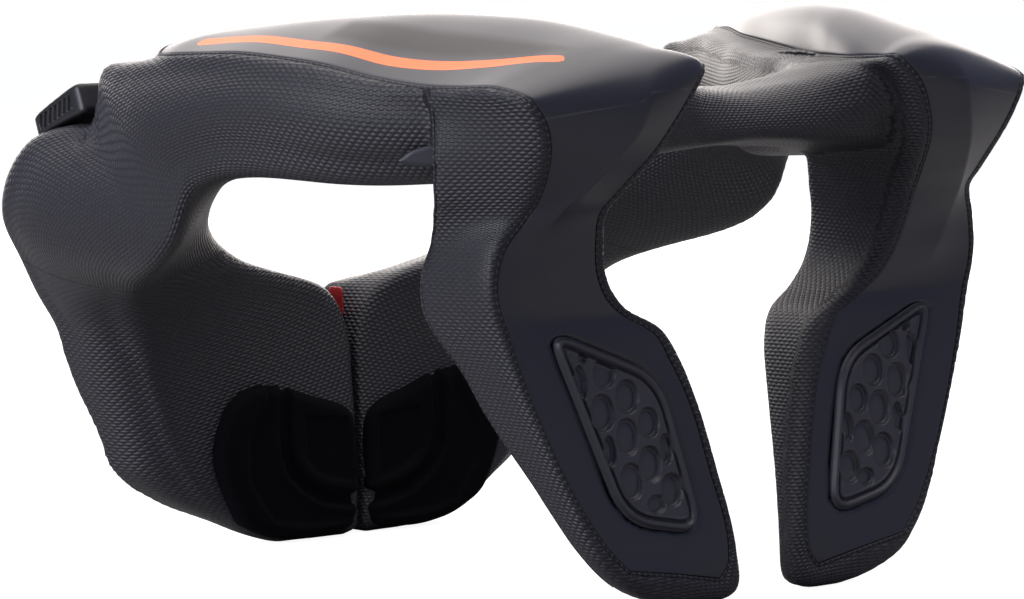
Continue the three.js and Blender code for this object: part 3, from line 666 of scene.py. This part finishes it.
def foam_pattern(points, normals, edges):
    """Pattern coordinates of the foam's points in millimetres, and 1 where they run smoothly, falling
    to 0 at a seam. Cells lie along the sweep on the collar, round the section on chest and legs."""
    collar = collar_loops()
    place_c, _, found_c = direction_surface(collar).nearest(points)
    place_l, _, found_l = direction_surface(leg_loops()).nearest(points)
    on_leg = np.linalg.norm(points - place_l, axis=1) < np.linalg.norm(points - place_c, axis=1)
    steps = (len(collar) - 1) / len(COLLAR)
    crease = (column(COLLAR, COLLAR_COLUMNS, "at").index(CREASE_ROW) + 1) * steps
    on_chest = ~on_leg & (found_c["row"][:, 0] > crease)
    long_way = np.where(on_chest[:, None], found_c["around"], found_c["along"])
    long_way = np.where(on_leg[:, None], found_l["around"], long_way)
    long_way = unit(long_way - np.sum(long_way * normals, 1)[:, None] * normals)
    cross_way = np.cross(normals, long_way)
    chart = on_leg * 2 + on_chest
    turn = np.where(on_leg, found_l["turn"][:, 0], found_c["turn"][:, 0])
    first, second = edges.T
    torn = (chart[first] != chart[second]) | (np.abs(turn[first] - turn[second]) > 0.5)
    weights = np.where(torn, 0.0, 1.0)
    plain = np.ones(len(points))
    plain[edges[torn].ravel()] = 0
    values = [unrolled(points, edges, way, weights) for way in (long_way, cross_way)]
    count = len(points)
    for _ in range(PLAIN_SMOOTHING):
        total = np.bincount(first, plain[second], count) + np.bincount(second, plain[first], count)
        plain = total / np.maximum(np.bincount(edges.ravel(), minlength=count), 1)
    return np.column_stack([*values, plain])


def set_attribute(mesh, name, kind, values):
    attribute = mesh.attributes.new(name, kind, "POINT")
    place = "vector" if kind == "FLOAT_VECTOR" else "value"
    attribute.data.foreach_set(place, np.asarray(values, np.float32).ravel())


def smooth_faces(made):
    made.data.polygons.foreach_set("use_smooth", np.ones(len(made.data.polygons), bool))
    made.data.update()


def mirrored(mesh, plane):
    """Points and faces of the mesh with its mirror image, joined at the points of the plane."""
    points = read_points(mesh)
    faces = [list(p.vertices) for p in mesh.polygons]
    other = np.arange(len(points)) + len(points)
    other[plane] = np.flatnonzero(plane)
    used = np.concatenate([np.ones(len(points), bool), ~plane])
    index = np.cumsum(used) - 1
    flipped = [[int(index[other[v]]) for v in reversed(f)] for f in faces]
    return used, faces + flipped


def folded(points, normals):
    """Foam points pushed in along the folds behind the clip, with a low swell on both sides of each."""
    for path in FOLDS:
        path = np.array(path, float) * MM
        away = path_distance(points, path) / MM
        depth = FOLD_DEPTH * hump(away, 0, FOLD_WIDTH) - SWELL_HEIGHT * hump(away, SWELL_AT, SWELL_WIDTH)
        points = points - normals * (depth * MM)[:, None]
    return points


def make_foam(cover):
    half = fused_half()
    points = read_points(half)
    plane = np.abs(points[:, 0]) < 1e-5
    edges = read_rows(half.edges, "vertices", 2, np.int64)
    points = relaxed(points, edges, FOAM_SMOOTHING, plane)
    write_points(half, points)
    points = under_cover(points, read_normals(half), cover)
    points[plane, 0] = 0
    points = relaxed(points, edges, 1, plane)
    points[:, 2] = np.maximum(points[:, 2], 0)
    write_points(half, points)
    points = folded(points, read_normals(half))
    write_points(half, points)
    pattern = foam_pattern(points, read_normals(half), edges)
    used, faces = mirrored(half, plane)
    both = np.concatenate([points, points * (-1, 1, 1)])[used]
    foam = mesh_object("foam", both, faces)
    set_attribute(foam.data, "pattern", "FLOAT_VECTOR", np.concatenate([pattern, pattern])[used])
    smooth_faces(foam)
    foam.shadow_terminator_geometry_offset = 0.6
    foam.shadow_terminator_normal_offset = 0.002
    return foam


def blade_frame(points, depth):
    """Points (x, height) in millimetres on the leaning plane of the blade, lifted out by depth."""
    up = np.array([0, math.sin(BLADE_LEAN), math.cos(BLADE_LEAN)])
    out = np.array([0, -math.cos(BLADE_LEAN), math.sin(BLADE_LEAN)])
    flat = np.array([0, BLADE_FOOT_Y, 0]) + points[..., :1] * MM * (1, 0, 0) + points[..., 1:] * MM * up
    return flat + depth[..., None] * MM * out


def chest_frame(points, depth):
    """Points (x, height) in millimetres on the back plane of the chest pad, lifted towards the wearer."""
    flat = np.stack([points[..., 0], points[..., 0] * 0 + PAD_BACK_Y / MM, points[..., 1]], -1)
    return (flat - depth[..., None] * (0, 1, 0)) * MM


def rounded_outline(corners, round_by, count, steps=12):
    """Closed outline with each corner turned by a quadratic curve, points evenly spaced afterwards."""
    corners = np.asarray(corners, float)
    points = []
    for i, p in enumerate(corners):
        before, after = corners[i - 1] - p, corners[(i + 1) % len(corners)] - p
        start = p + before * min(round_by / np.linalg.norm(before), CUT_SHARE)
        end = p + after * min(round_by / np.linalg.norm(after), CUT_SHARE)
        t = np.linspace(0, 1, steps)[:, None]
        points.append((1 - t) ** 2 * start + 2 * t * (1 - t) * p + t**2 * end)
    return evenly(np.concatenate(points + [points[0][:1]]), count)


def evenly(path, count, closed=True):
    """A path as count points at even distances of its places, which are its first three columns. The
    end of a closed path is its start again, and is left out."""
    at = lengths(path[:, :3])
    wanted = np.linspace(0, at[-1], count, endpoint=not closed)
    return np.stack([np.interp(wanted, at, path[:, k]) for k in range(path.shape[1])], 1)


def path_distance(points, path):
    """Distance of points to a path of straight pieces, all in the plane."""
    best = np.full(len(points), 1e9)
    for a, b in zip(path[:-1], path[1:]):
        way = b - a
        t = np.clip((points - a) @ way / max(way @ way, 1e-12), 0, 1)
        best = np.minimum(best, np.linalg.norm(points - a - t[:, None] * way, axis=1))
    return best


def depth_inside(points, outline):
    """Distance of points to a closed outline, positive inside it and negative outside."""
    outline = np.asarray(outline, float)
    away = path_distance(points, looped(outline))
    return np.where(inside_outline(points, outline), away, -away)


def inside_outline(points, outline):
    """True where a point lies inside a closed outline: an odd number of its sides is crossed."""
    inside = np.zeros(len(points), bool)
    for a, b in zip(outline, np.roll(outline, -1, axis=0)):
        level = (a[1] > points[:, 1]) != (b[1] > points[:, 1])
        with np.errstate(divide="ignore", invalid="ignore"):
            crossing = a[0] + (points[:, 1] - a[1]) / (b[1] - a[1]) * (b[0] - a[0])
        inside ^= level & (points[:, 0] < crossing)
    return inside


def relief(name, outline, height_of, place_of, foot, rings):
    """Raised patch over an outline: rings shrink from the outline to one point in its middle, each point
    stands height_of(point, distance to the outline) above the plane, and a wall goes down to foot."""
    count = len(outline)
    middle = outline.mean(axis=0)
    r = np.sin(np.linspace(0, math.pi / 2, rings + 1))[1:]
    flat = middle + (outline - middle) * r[:, None, None]
    points = np.concatenate([[middle], flat.reshape(-1, 2)])
    depth = height_of(points, path_distance(points, looped(outline)))
    base = np.concatenate([outline, [middle]])
    places = np.concatenate([place_of(points, depth), place_of(base, np.full(count + 1, float(foot)))])
    last = len(places) - 1
    faces = [[0, 1 + (k + 1) % count, 1 + k] for k in range(count)]
    faces += [[v + 1 for v in f] for f in grid_faces(rings + 1, count, wrap=True).tolist()]
    faces += [[last, last - count + k, last - count + (k + 1) % count] for k in range(count)]
    return closed_piece(name, places, faces)


def insert_height(points, inward):
    """Frame that stands proud, a groove and a lip inside it, then a net of ridges between cells whose
    floors are domed: a cell falls from its rim as a smooth step and its floor as - e ** 4."""
    frame_top = FRAME_HEIGHT * ramp(inward, 0, 1.4) - FRAME_DROP * ramp(inward, 1.7, 2.9)
    field = np.full(len(points), NET_HEIGHT)
    for *middle, wide, high in CELLS:
        aside = np.abs((points - middle) / (wide, high)) ** CELL_SQUARENESS
        e = (aside[:, 0] + aside[:, 1]) ** (1 / CELL_SQUARENESS) / CELL_GROWTH
        floor = CELL_FLOOR - CELL_DOME * np.minimum(e, 1) ** 4
        cell = floor + (NET_HEIGHT - floor) * ramp(e, 0.8, 1)
        field = np.minimum(field, np.where(e < 1, cell, NET_HEIGHT))
    groove = GROOVE_DEPTH * hump(inward, GROOVE_AT, GROOVE_WIDTH)
    lip = LIP_HEIGHT * hump(inward, LIP_AT, LIP_WIDTH)
    return frame_top + (field - frame_top) * ramp(inward, 2.9, 3.6) + lip - groove


def pad_height(points, inward):
    """Pad with a rounded border, a raised outer rim, a channel round its square, and a lower middle."""
    edge = PAD_PROUD * edge_rise(inward, PAD_EDGE)
    ledge = LEDGE_DEPTH * ramp(depth_inside(points, PAD_LEDGE), -1, 2)
    away = path_distance(points, np.array(PAD_CHANNEL, float))
    channel = CHANNEL_DEPTH * (1 - ramp(away, 1.6, 4.2))
    square = SQUARE_DEPTH * ramp(depth_inside(points, PAD_SQUARE), -0.6, 1.2)
    square = square - SQUARE_DEPTH * (1 - ramp(away, 3, 9))
    return edge - ledge - channel - square


class Term:
    """A shader value that Python arithmetic can be used on."""

    def __init__(self, finish, socket):
        self.finish = finish
        self.socket = socket

    def math(self, operation, *others, swap=False):
        terms = [self, *others]
        if swap:
            terms.reverse()
        return self.finish.node("Math", {"operation": operation}, dict(enumerate(terms)))

    def __add__(self, other):
        return self.math("ADD", other)

    __radd__ = __add__

    def __mul__(self, other):
        return self.math("MULTIPLY", other)

    __rmul__ = __mul__

    def __sub__(self, other):
        return self.math("SUBTRACT", other)

    def __rsub__(self, other):
        return self.math("SUBTRACT", other, swap=True)

    def __truediv__(self, other):
        return self.math("DIVIDE", other)

    def floor(self):
        return self.math("FLOOR")

    def part(self):
        return self.math("FRACT")

    def size(self):
        return self.math("ABSOLUTE")

    def least(self, other):
        return self.math("MINIMUM", other)

    def most(self, other):
        return self.math("MAXIMUM", other)

    def step(self, low, high):
        """0 below low, 1 above high, a straight ramp between them."""
        return ((self - low) / (high - low)).most(0.0).least(1.0)


class Finish:
    """A material whose shader settings are given by name and whose nodes come from node()."""

    def __init__(self, name, **settings):
        self.material = bpy.data.materials.new(name)
        self.material.use_nodes = True
        self.tree = self.material.node_tree
        self.tree.nodes.clear()
        self.shader = self.tree.nodes.new("ShaderNodeBsdfPrincipled")
        output = self.tree.nodes.new("ShaderNodeOutputMaterial")
        self.tree.links.new(self.shader.outputs[0], output.inputs["Surface"])
        for key, value in settings.items():
            name = key.replace("_", " ").title().replace("Ior", "IOR")
            self.shader.inputs[name].default_value = value

    def feed(self, place, term):
        if isinstance(term, Term):
            self.tree.links.new(term.socket, place)
        else:
            place.default_value = term

    def node(self, kind, settings, inputs, output=0):
        """A node with its settings and inputs; the output that is wanted, by place or name."""
        made = self.tree.nodes.new("ShaderNode" + kind)
        for key, value in settings.items():
            setattr(made, key, value)
        for key, term in inputs.items():
            self.feed(made.inputs[key], term)
        return Term(self, made.outputs[output])

    def attribute(self, name, output="Fac"):
        return self.node("Attribute", {"attribute_name": name}, {}, output)

    def parts(self, vector):
        """The three parts of a vector."""
        made = self.node("SeparateXYZ", {}, {"Vector": vector}).socket.node
        return [Term(self, output) for output in made.outputs]

    def noise(self, scale, detail):
        where = self.node("TexCoord", {}, {}, "Object")
        return self.node("TexNoise", {}, {"Vector": where, "Scale": scale, "Detail": detail})

    def mixed(self, factor, first, second):
        """First colour where the factor is 0, second where it is 1."""
        return self.node("Mix", {"data_type": "RGBA"}, {0: factor, 6: first, 7: second}, 2)

    def bump(self, height, distance, strength):
        inputs = {"Height": height, "Distance": distance, "Strength": strength}
        self.feed(self.shader.inputs["Normal"], self.node("Bump", {}, inputs))

    def paint(self, name, term):
        self.feed(self.shader.inputs[name], term)


def foam_finish():
    """Charcoal skin embossed with rows of lens-shaped cells: each row is shifted by half a cell, and a
    cell's height falls from its middle as 1 - x * x - |y|."""
    made = Finish("foam_skin", roughness=0.5)
    along, round_it, plain = made.parts(made.attribute("pattern", "Vector"))
    row = round_it / CELL_HIGH
    shift = row.floor().math("MODULO", 2.0) * 0.5
    x = ((along / CELL_LONG + shift).part() - 0.5) * 2.0
    y = (row.part() - 0.5) * 2.0
    cell = (1.0 - x * x - y.size()).most(0.0).least(0.7) * plain
    made.bump(cell, 0.00055, 0.85)
    # Painted shade and highlight: the base colour follows the cell height, darker in the grooves between
    # cells and where the cells fade out at a seam, lighter on the cell tops
    dark = (0.0085, 0.0085, 0.0125, 1)
    light = (0.0230, 0.0225, 0.0310, 1)
    made.paint("Base Color", made.mixed(cell.step(0.0, 0.6), dark, light))
    return made.material


def shell_finish():
    """Satin anthracite with a darker panel; the stripe, the panel and the film's line are drawn where
    their distances in millimetres pass a step."""
    made = Finish("shell", roughness=0.36)
    stripe = made.attribute("stripe").step(-0.12, 0.12)
    panel = made.attribute("panel").step(-0.5, 5.0)
    film = made.attribute("film").step(0.15, 0.45)
    body = made.mixed(panel, (0.018, 0.019, 0.028, 1), (0.016, 0.014, 0.014, 1))
    body = made.mixed(film, (0.05, 0.05, 0.06, 1), body)
    made.paint("Base Color", made.mixed(stripe, body, (1.0, 0.19, 0.055, 1)))
    made.paint("Roughness", 0.39 + panel * 0.14 + stripe * 0.14)
    made.bump(made.noise(1500.0, 3.0), 0.00006, 0.25)
    return made.material


def plain_finish(name, colour, roughness):
    """One colour with a fine moulded grain."""
    made = Finish(name, base_color=(*colour, 1), roughness=roughness)
    made.bump(made.noise(700.0, 3.0), 0.0001, 0.5)
    return made.material


def piping_finish():
    """Dark cord with stitches at an even pitch along it, painted lighter: partly the stitches' own
    colour, partly a painted highlight where they glint.
    """
    made = Finish("piping", roughness=0.6)
    place = (made.attribute("along") / STITCH_PITCH).part()
    stitch_and_glint = place.step(0.5, 0.56) - place.step(0.86, 0.92)
    # The stitches are painted lighter than the cord: their own colour together with a painted highlight
    # of their glints
    made.paint("Base Color", made.mixed(stitch_and_glint, (0.002, 0.002, 0.003, 1), (0.03, 0.03, 0.038, 1)))
    made.bump(stitch_and_glint, 0.0003, 0.8)
    return made.material


def velour_finish():
    """Near-black pile that hardly shines."""
    dark = (0.0015, 0.0016, 0.0028, 1)
    made = Finish("pad_velour", base_color=dark, roughness=1.0, specular_ior_level=0.12)
    made.bump(made.noise(2500.0, 2.0), 0.0002, 0.5)
    return made.material


def flipped(made, name):
    """Mirror image of a piece on the left side."""
    points = read_points(made.data) * (-1, 1, 1)
    twin = mesh_object(name, points, [list(reversed(p.vertices)) for p in made.data.polygons])
    smooth_faces(twin)
    for attribute in made.data.attributes:
        if attribute.name in ("stripe", "panel", "film", "along"):
            values = read_rows(attribute.data, "value", 1, np.float32)
            set_attribute(twin.data, attribute.name, "FLOAT", values)
    for modifier in made.modifiers:
        copy = twin.modifiers.new(modifier.name, modifier.type)
        copy.thickness = modifier.thickness
        copy.offset = modifier.offset
    return twin


def make_shell(grid):
    """Cover with rounded edges, sunk a little where the rubber insert sits in it. Its points carry the
    distances in millimetres that its stripe, panel and film line are drawn from."""
    normals = grid_normals(grid)
    border = border_distance(grid)
    fall = np.clip(1 - border / COVER_EDGE_ROUND, 0, 1)
    drop = COVER_EDGE_ROUND * (1 - np.sqrt(1 - fall**2))
    flat = np.stack([grid[..., 0], grid[..., 2] / math.cos(BLADE_LEAN)], -1).reshape(-1, 2) / MM
    outline = rounded_outline(INSERT_OUTLINE, INSERT_ROUND, 80)
    outside = -depth_inside(flat, outline).reshape(border.shape)
    sink = INSERT_SINK * MM * (1 - ramp(outside, -0.2, 0.6))
    points = grid - normals * (drop + sink)[..., None]
    shell = mesh_object("shell_right_skin", points.reshape(-1, 3), grid_faces(*grid.shape[:2]))
    place = grid.reshape(-1, 3) / MM
    top = place[:, 2] > STRIPE_LOWEST
    band = STRIPE_WIDTH / 2 - path_distance(place[:, :2], smooth_rows(STRIPE_PATH, 8))
    panel = depth_inside(place[:, :2], PANEL)
    film = path_distance(place[:, [0, 2]], np.array(FILM_LINE, float))
    marks = {
        "stripe": np.where(top, band, -FAR_AWAY),
        "panel": np.where(top, panel, -FAR_AWAY),
        "film": np.where(place[:, 1] < FILM_FRONT, film, FAR_AWAY),
    }
    for name, values in marks.items():
        set_attribute(shell.data, name, "FLOAT", values)
    smooth_faces(shell)
    thick = shell.modifiers.new("thickness", "SOLIDIFY")
    thick.thickness = COVER_THICKNESS
    thick.offset = -1
    return shell


def cord_along(name, path, up, radius, closed):
    """Cord of round section along a path: path + radius * (cos(a) * side + sin(a) * up)."""
    if closed:
        tangent = np.roll(path, -1, axis=0) - np.roll(path, 1, axis=0)
    else:
        tangent = np.gradient(path, axis=0)
    side = unit(np.cross(tangent, up))
    upright = unit(np.cross(side, tangent))
    around = PIPING_SIDES
    a = np.linspace(0, 2 * math.pi, around, endpoint=False)[:, None]
    rings = path[:, None] + radius * (np.cos(a) * side[:, None] + np.sin(a) * upright[:, None])
    along = lengths(path) / MM
    if closed:
        rings = np.concatenate([rings, rings[:1]])
        points = rings[:-1].reshape(-1, 3)
        faces = grid_faces(len(rings), around, wrap=True) % len(points)
        values = np.repeat(along, around)
    else:
        points, faces = closed_skin(rings)
        values = np.concatenate([np.repeat(along, around), along[[0, -1]]])
    made = closed_piece(name, points, faces)
    set_attribute(made.data, "along", "FLOAT", values)
    return made


def outwards(made):
    """Faces turned so that they all point out of a closed piece."""
    work = bmesh.new()
    work.from_mesh(made.data)
    bmesh.ops.recalc_face_normals(work, faces=work.faces[:])
    work.to_mesh(made.data)
    work.free()
    return made


def closed_piece(name, points, faces):
    """Smooth piece whose faces all point out of it."""
    made = mesh_object(name, points, faces)
    smooth_faces(made)
    return outwards(made)


def spaced(path, gap, closed):
    """Path with points at even distances of about gap."""
    whole = looped(path) if closed else path
    return evenly(whole, int(lengths(whole[:, :3])[-1] / gap), closed)


def border_loop(field):
    """Values of a grid once round its border."""
    return np.concatenate([field[:, -1], field[-1, -2::-1], field[-2::-1, 0], field[0, 1:-1]])


def cover_piping(grid):
    """Cord in the seam between the cover's border and the foam."""
    normals = grid_normals(grid)
    both = np.column_stack([border_loop(grid), border_loop(normals)])
    both = spaced(both, PIPING_STEP, closed=True)
    path, up = both[:, :3], both[:, 3:]
    tangent = np.roll(path, -3, axis=0) - np.roll(path, 3, axis=0)
    outward = unit(np.cross(up, tangent))
    if np.sum((path - path.mean(axis=0)) * outward) < 0:
        outward = -outward
    path = path + outward * PIPING_OUT + up * (PIPING_LIFT - PIPING_OUT)
    return cord_along("piping_cover", path, up, PIPING_THICK / 2, closed=True)


def leg_piping(foam):
    """Cord along the outer back edge of the leg, which is the middle of the turn at the section's third
    corner, laid on the foam's skin."""
    loops = leg_loops()
    first, last = LEG_PIPING_ROWS
    steps = (len(loops) - 1) // (len(LEG) - 1)
    edge = 2 * (TURN_POINTS + SIDE_POINTS) + TURN_POINTS // 2
    path = loops[first * steps : last * steps, edge]
    polygons = [p.vertices[:] for p in foam.data.polygons]
    tree = BVHTree.FromPolygons(read_points(foam.data).tolist(), polygons)
    hits = [tree.find_nearest(Vector(p)) for p in spaced(path, PIPING_STEP, closed=False)]
    path = np.array([h[0] for h in hits])
    up = np.array([h[1] for h in hits])
    for _ in range(LEG_PIPING_SMOOTHING):
        for rows in (path, up):
            rows[1:-1] = (rows[:-2] + 2 * rows[1:-1] + rows[2:]) / 4
    return cord_along("piping_leg", path, up, LEG_PIPING_RADIUS, closed=False)


def closing(rings, squareness):
    """Places u from -1 to 1 along a piece, and the share of its section there, which closes both ends
    as (1 - |u| ** squareness) ** (1 / squareness)."""
    u = np.sin(np.linspace(-math.pi / 2, math.pi / 2, rings))[1:-1, None]
    return u, (1 - np.abs(u) ** squareness) ** (1 / squareness)


def make_clip():
    """Rounded wedge: one rounded section whose height falls towards the front, closed at both ends,
    with leaning slots cut into the outer side."""
    u, share = closing(CLIP_RINGS, CLIP_SQUARENESS)
    half, tall = CLIP_WIDTH / 2, CLIP_HEIGHT / 2
    corners = ((-half, -tall), (half, -tall), (half, tall), (-half, tall))
    section = rounded_outline(corners, CLIP_ROUND, CLIP_POINTS)
    x = section[None, :, 0] * share
    z = section[None, :, 1] * share * (1 - CLIP_TAPER * (u + 1) / 2) - CLIP_HOLLOW * u**2
    y = u * CLIP_LENGTH / 2 + 0 * x
    place = (y + SLOT_LEAN * z - SLOT_SPAN[0]) / SLOT_PITCH
    slot = 1 - ramp(np.abs(place % 1 - 0.5), *SLOT_HALF_SHARE)
    first, last = SLOT_SPAN
    within = ramp(y, first, first + SLOT_EDGE) * (1 - ramp(y, last - SLOT_EDGE, last))
    level = 1 - ramp(np.abs(z), SLOT_HALF_HEIGHT - SLOT_EDGE, SLOT_HALF_HEIGHT)
    face = ramp(x, half * 0.9, half * 0.97) * level
    x = x - SLOT_DEPTH * slot * within * face
    cos, sin = math.cos(CLIP_SLOPE), math.sin(CLIP_SLOPE)
    points = np.stack([x, y * cos - z * sin, y * sin + z * cos], -1) * MM + spots([CLIP_AT])[0]
    return closed_piece("clip_right_wedge", *closed_skin(points))


def badge_frame(points, depth):
    """Points (along, height) in millimetres on the upright plane of the badge, lifted out by depth."""
    along = np.array([math.sin(BADGE_TURN), math.cos(BADGE_TURN), 0])
    out = np.array([math.cos(BADGE_TURN), -math.sin(BADGE_TURN), 0])
    flat = points[..., :1] * along + points[..., 1:] * np.array([0, 0, 1])
    return spots([BADGE_AT])[0] + (flat + depth[..., None] * out) * MM


def badge_height(points, inward):
    return BADGE_THICK + BADGE_PROUD * edge_rise(inward, BADGE_EDGE)


def make_tab():
    """Thin tab whose section is a circle drawn out towards a box, the roots of cosine and sine, and
    shrinks at both ends."""
    wide, deep, tall = TAB_SIZE
    u, share = closing(TAB_RINGS, TAB_SQUARENESS)
    angle = np.linspace(0, 2 * math.pi, TAB_POINTS, endpoint=False)[None, :]
    x = np.sign(np.cos(angle)) * np.abs(np.cos(angle)) ** 0.5 * wide / 2 * share
    y = np.sign(np.sin(angle)) * np.abs(np.sin(angle)) ** 0.5 * deep / 2 * share
    points = np.stack([x, y, u * tall / 2 + 0 * angle], -1) * MM + spots([TAB_AT])[0]
    return closed_piece("split_tab_sheet", *closed_skin(points))


def dress(made, material, slot_name, *nodes):
    """Give a piece its material and body, and hide the nodes it replaces; slot_name is not used."""
    made.data.materials.clear()
    made.data.materials.append(material)
    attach(made, "root")
    if nodes:
        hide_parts(*nodes)
    return made


def build_brace():
    grid = cover_grid()
    cover = Surface(grid, border=border_distance(grid))
    foam = make_foam(cover)
    dress(foam, foam_finish(), "foam_skin", "foam_body")
    shell = make_shell(grid)
    edge = rounded_outline(INSERT_OUTLINE, INSERT_ROUND, INSERT_POINTS)
    insert = relief("insert_right_relief", edge, insert_height, blade_frame, RELIEF_FOOT, INSERT_RINGS)
    edge = rounded_outline(PAD_OUTLINE, PAD_ROUND, PAD_POINTS)
    pad = relief("chest_pad_right_relief", edge, pad_height, chest_frame, RELIEF_FOOT, PAD_RINGS)
    edge = rounded_outline(BADGE_OUTLINE, BADGE_ROUND, BADGE_POINTS)
    badge = relief("badge_right_leaf", edge, badge_height, badge_frame, BADGE_FOOT, BADGE_RINGS)
    looks = {
        "shell": (shell, shell_finish(), "shell"),
        "insert": (insert, plain_finish("grip_rubber", (0.036, 0.036, 0.046), 0.42), "grip_rubber"),
        "chest_pad": (pad, velour_finish(), "pad_velour"),
        "clip": (make_clip(), plain_finish("clip_plastic", (0.006, 0.006, 0.008), 0.4), "clip_plastic"),
        "badge": (badge, plain_finish("badge_plastic", (0.014, 0.015, 0.022), 0.42), "badge_plastic"),
    }
    for name, (made, material, slot_name) in looks.items():
        twin = flipped(made, f"{name}_left_copy")
        dress(made, material, slot_name, f"{name}_right")
        dress(twin, material, slot_name, f"{name}_left")
        name == "chest_pad"
    cord = piping_finish()
    for made in (cover_piping(grid), leg_piping(foam)):
        for piece in (made, flipped(made, made.name + "_left")):
            dress(piece, cord, "foam_skin")
    dress(make_tab(), plain_finish("red_plastic", (0.40, 0.012, 0.012), 0.5), "red_plastic", "split_tab")


def area_light(name, place, aim, size, power, colour):
    data = bpy.data.lights.new(name, "AREA")
    data.shape = "RECTANGLE"
    data.size, data.size_y = size
    data.energy = power
    data.color = colour
    made = bpy.data.objects.new(name, data)
    bpy.context.scene.collection.objects.link(made)
    made.location = place
    made.rotation_euler = (Vector(aim) - Vector(place)).to_track_quat("-Z", "Y").to_euler()


def camera_only(finish, seen, lit):
    """Colour that the camera sees, and the one that lights the object, told apart by the kind of ray."""
    from_camera = finish.node("LightPath", {}, {}, "Is Camera Ray")
    return finish.mixed(from_camera, (*lit, 1), (*seen, 1))


class Sky(Finish):
    """The world's own shader tree with the same helpers as a material."""

    def __init__(self, world):
        world.use_nodes = True
        self.tree = world.node_tree
        self.shader = self.tree.nodes["Background"]


def build_studio():
    corners = [(x * PAPER_REACH, y * PAPER_REACH, 0) for x, y in ((-1, -1), (1, -1), (1, 1), (-1, 1))]
    floor = mesh_object("floor", corners, [(0, 1, 2, 3)])
    paper = Finish("paper", base_color=(0.30, 0.30, 0.30, 1), roughness=1.0, specular_ior_level=0.0)
    paper.paint("Emission Color", camera_only(paper, PAPER_SEEN, (0, 0, 0)))
    paper.shader.inputs["Emission Strength"].default_value = 1.0
    floor.data.materials.append(paper.material)
    world = bpy.data.worlds.new("studio")
    sky = Sky(world)
    sky.feed(sky.shader.inputs["Color"], camera_only(sky, (1, 1, 1), WORLD_LIGHT))
    bpy.context.scene.world = world
    for light in LIGHTS:
        area_light(*light)
    bpy.context.scene.view_settings.view_transform = "Standard"


def build_camera():
    a, e, r = CAMERA_AZIMUTH, CAMERA_ELEVATION, CAMERA_ROLL
    back = Vector((-math.sin(a) * math.cos(e), -math.cos(a) * math.cos(e), math.sin(e)))
    right = Vector((math.cos(a), -math.sin(a), 0))
    up = back.cross(right)
    right, up = math.cos(r) * right - math.sin(r) * up, math.sin(r) * right + math.cos(r) * up
    data = bpy.data.cameras.new("camera")
    data.sensor_width = SENSOR
    data.lens = FOCAL_PER_WIDTH * SENSOR
    made = bpy.data.objects.new("camera", data)
    bpy.context.scene.collection.objects.link(made)
    place = Vector(CAMERA_TARGET) + back * CAMERA_DISTANCE
    turn = Matrix((right, up, back)).transposed().to_4x4()
    made.matrix_world = Matrix.Translation(place) @ turn
    bpy.context.scene.camera = made


build_brace()
build_studio()
build_camera()
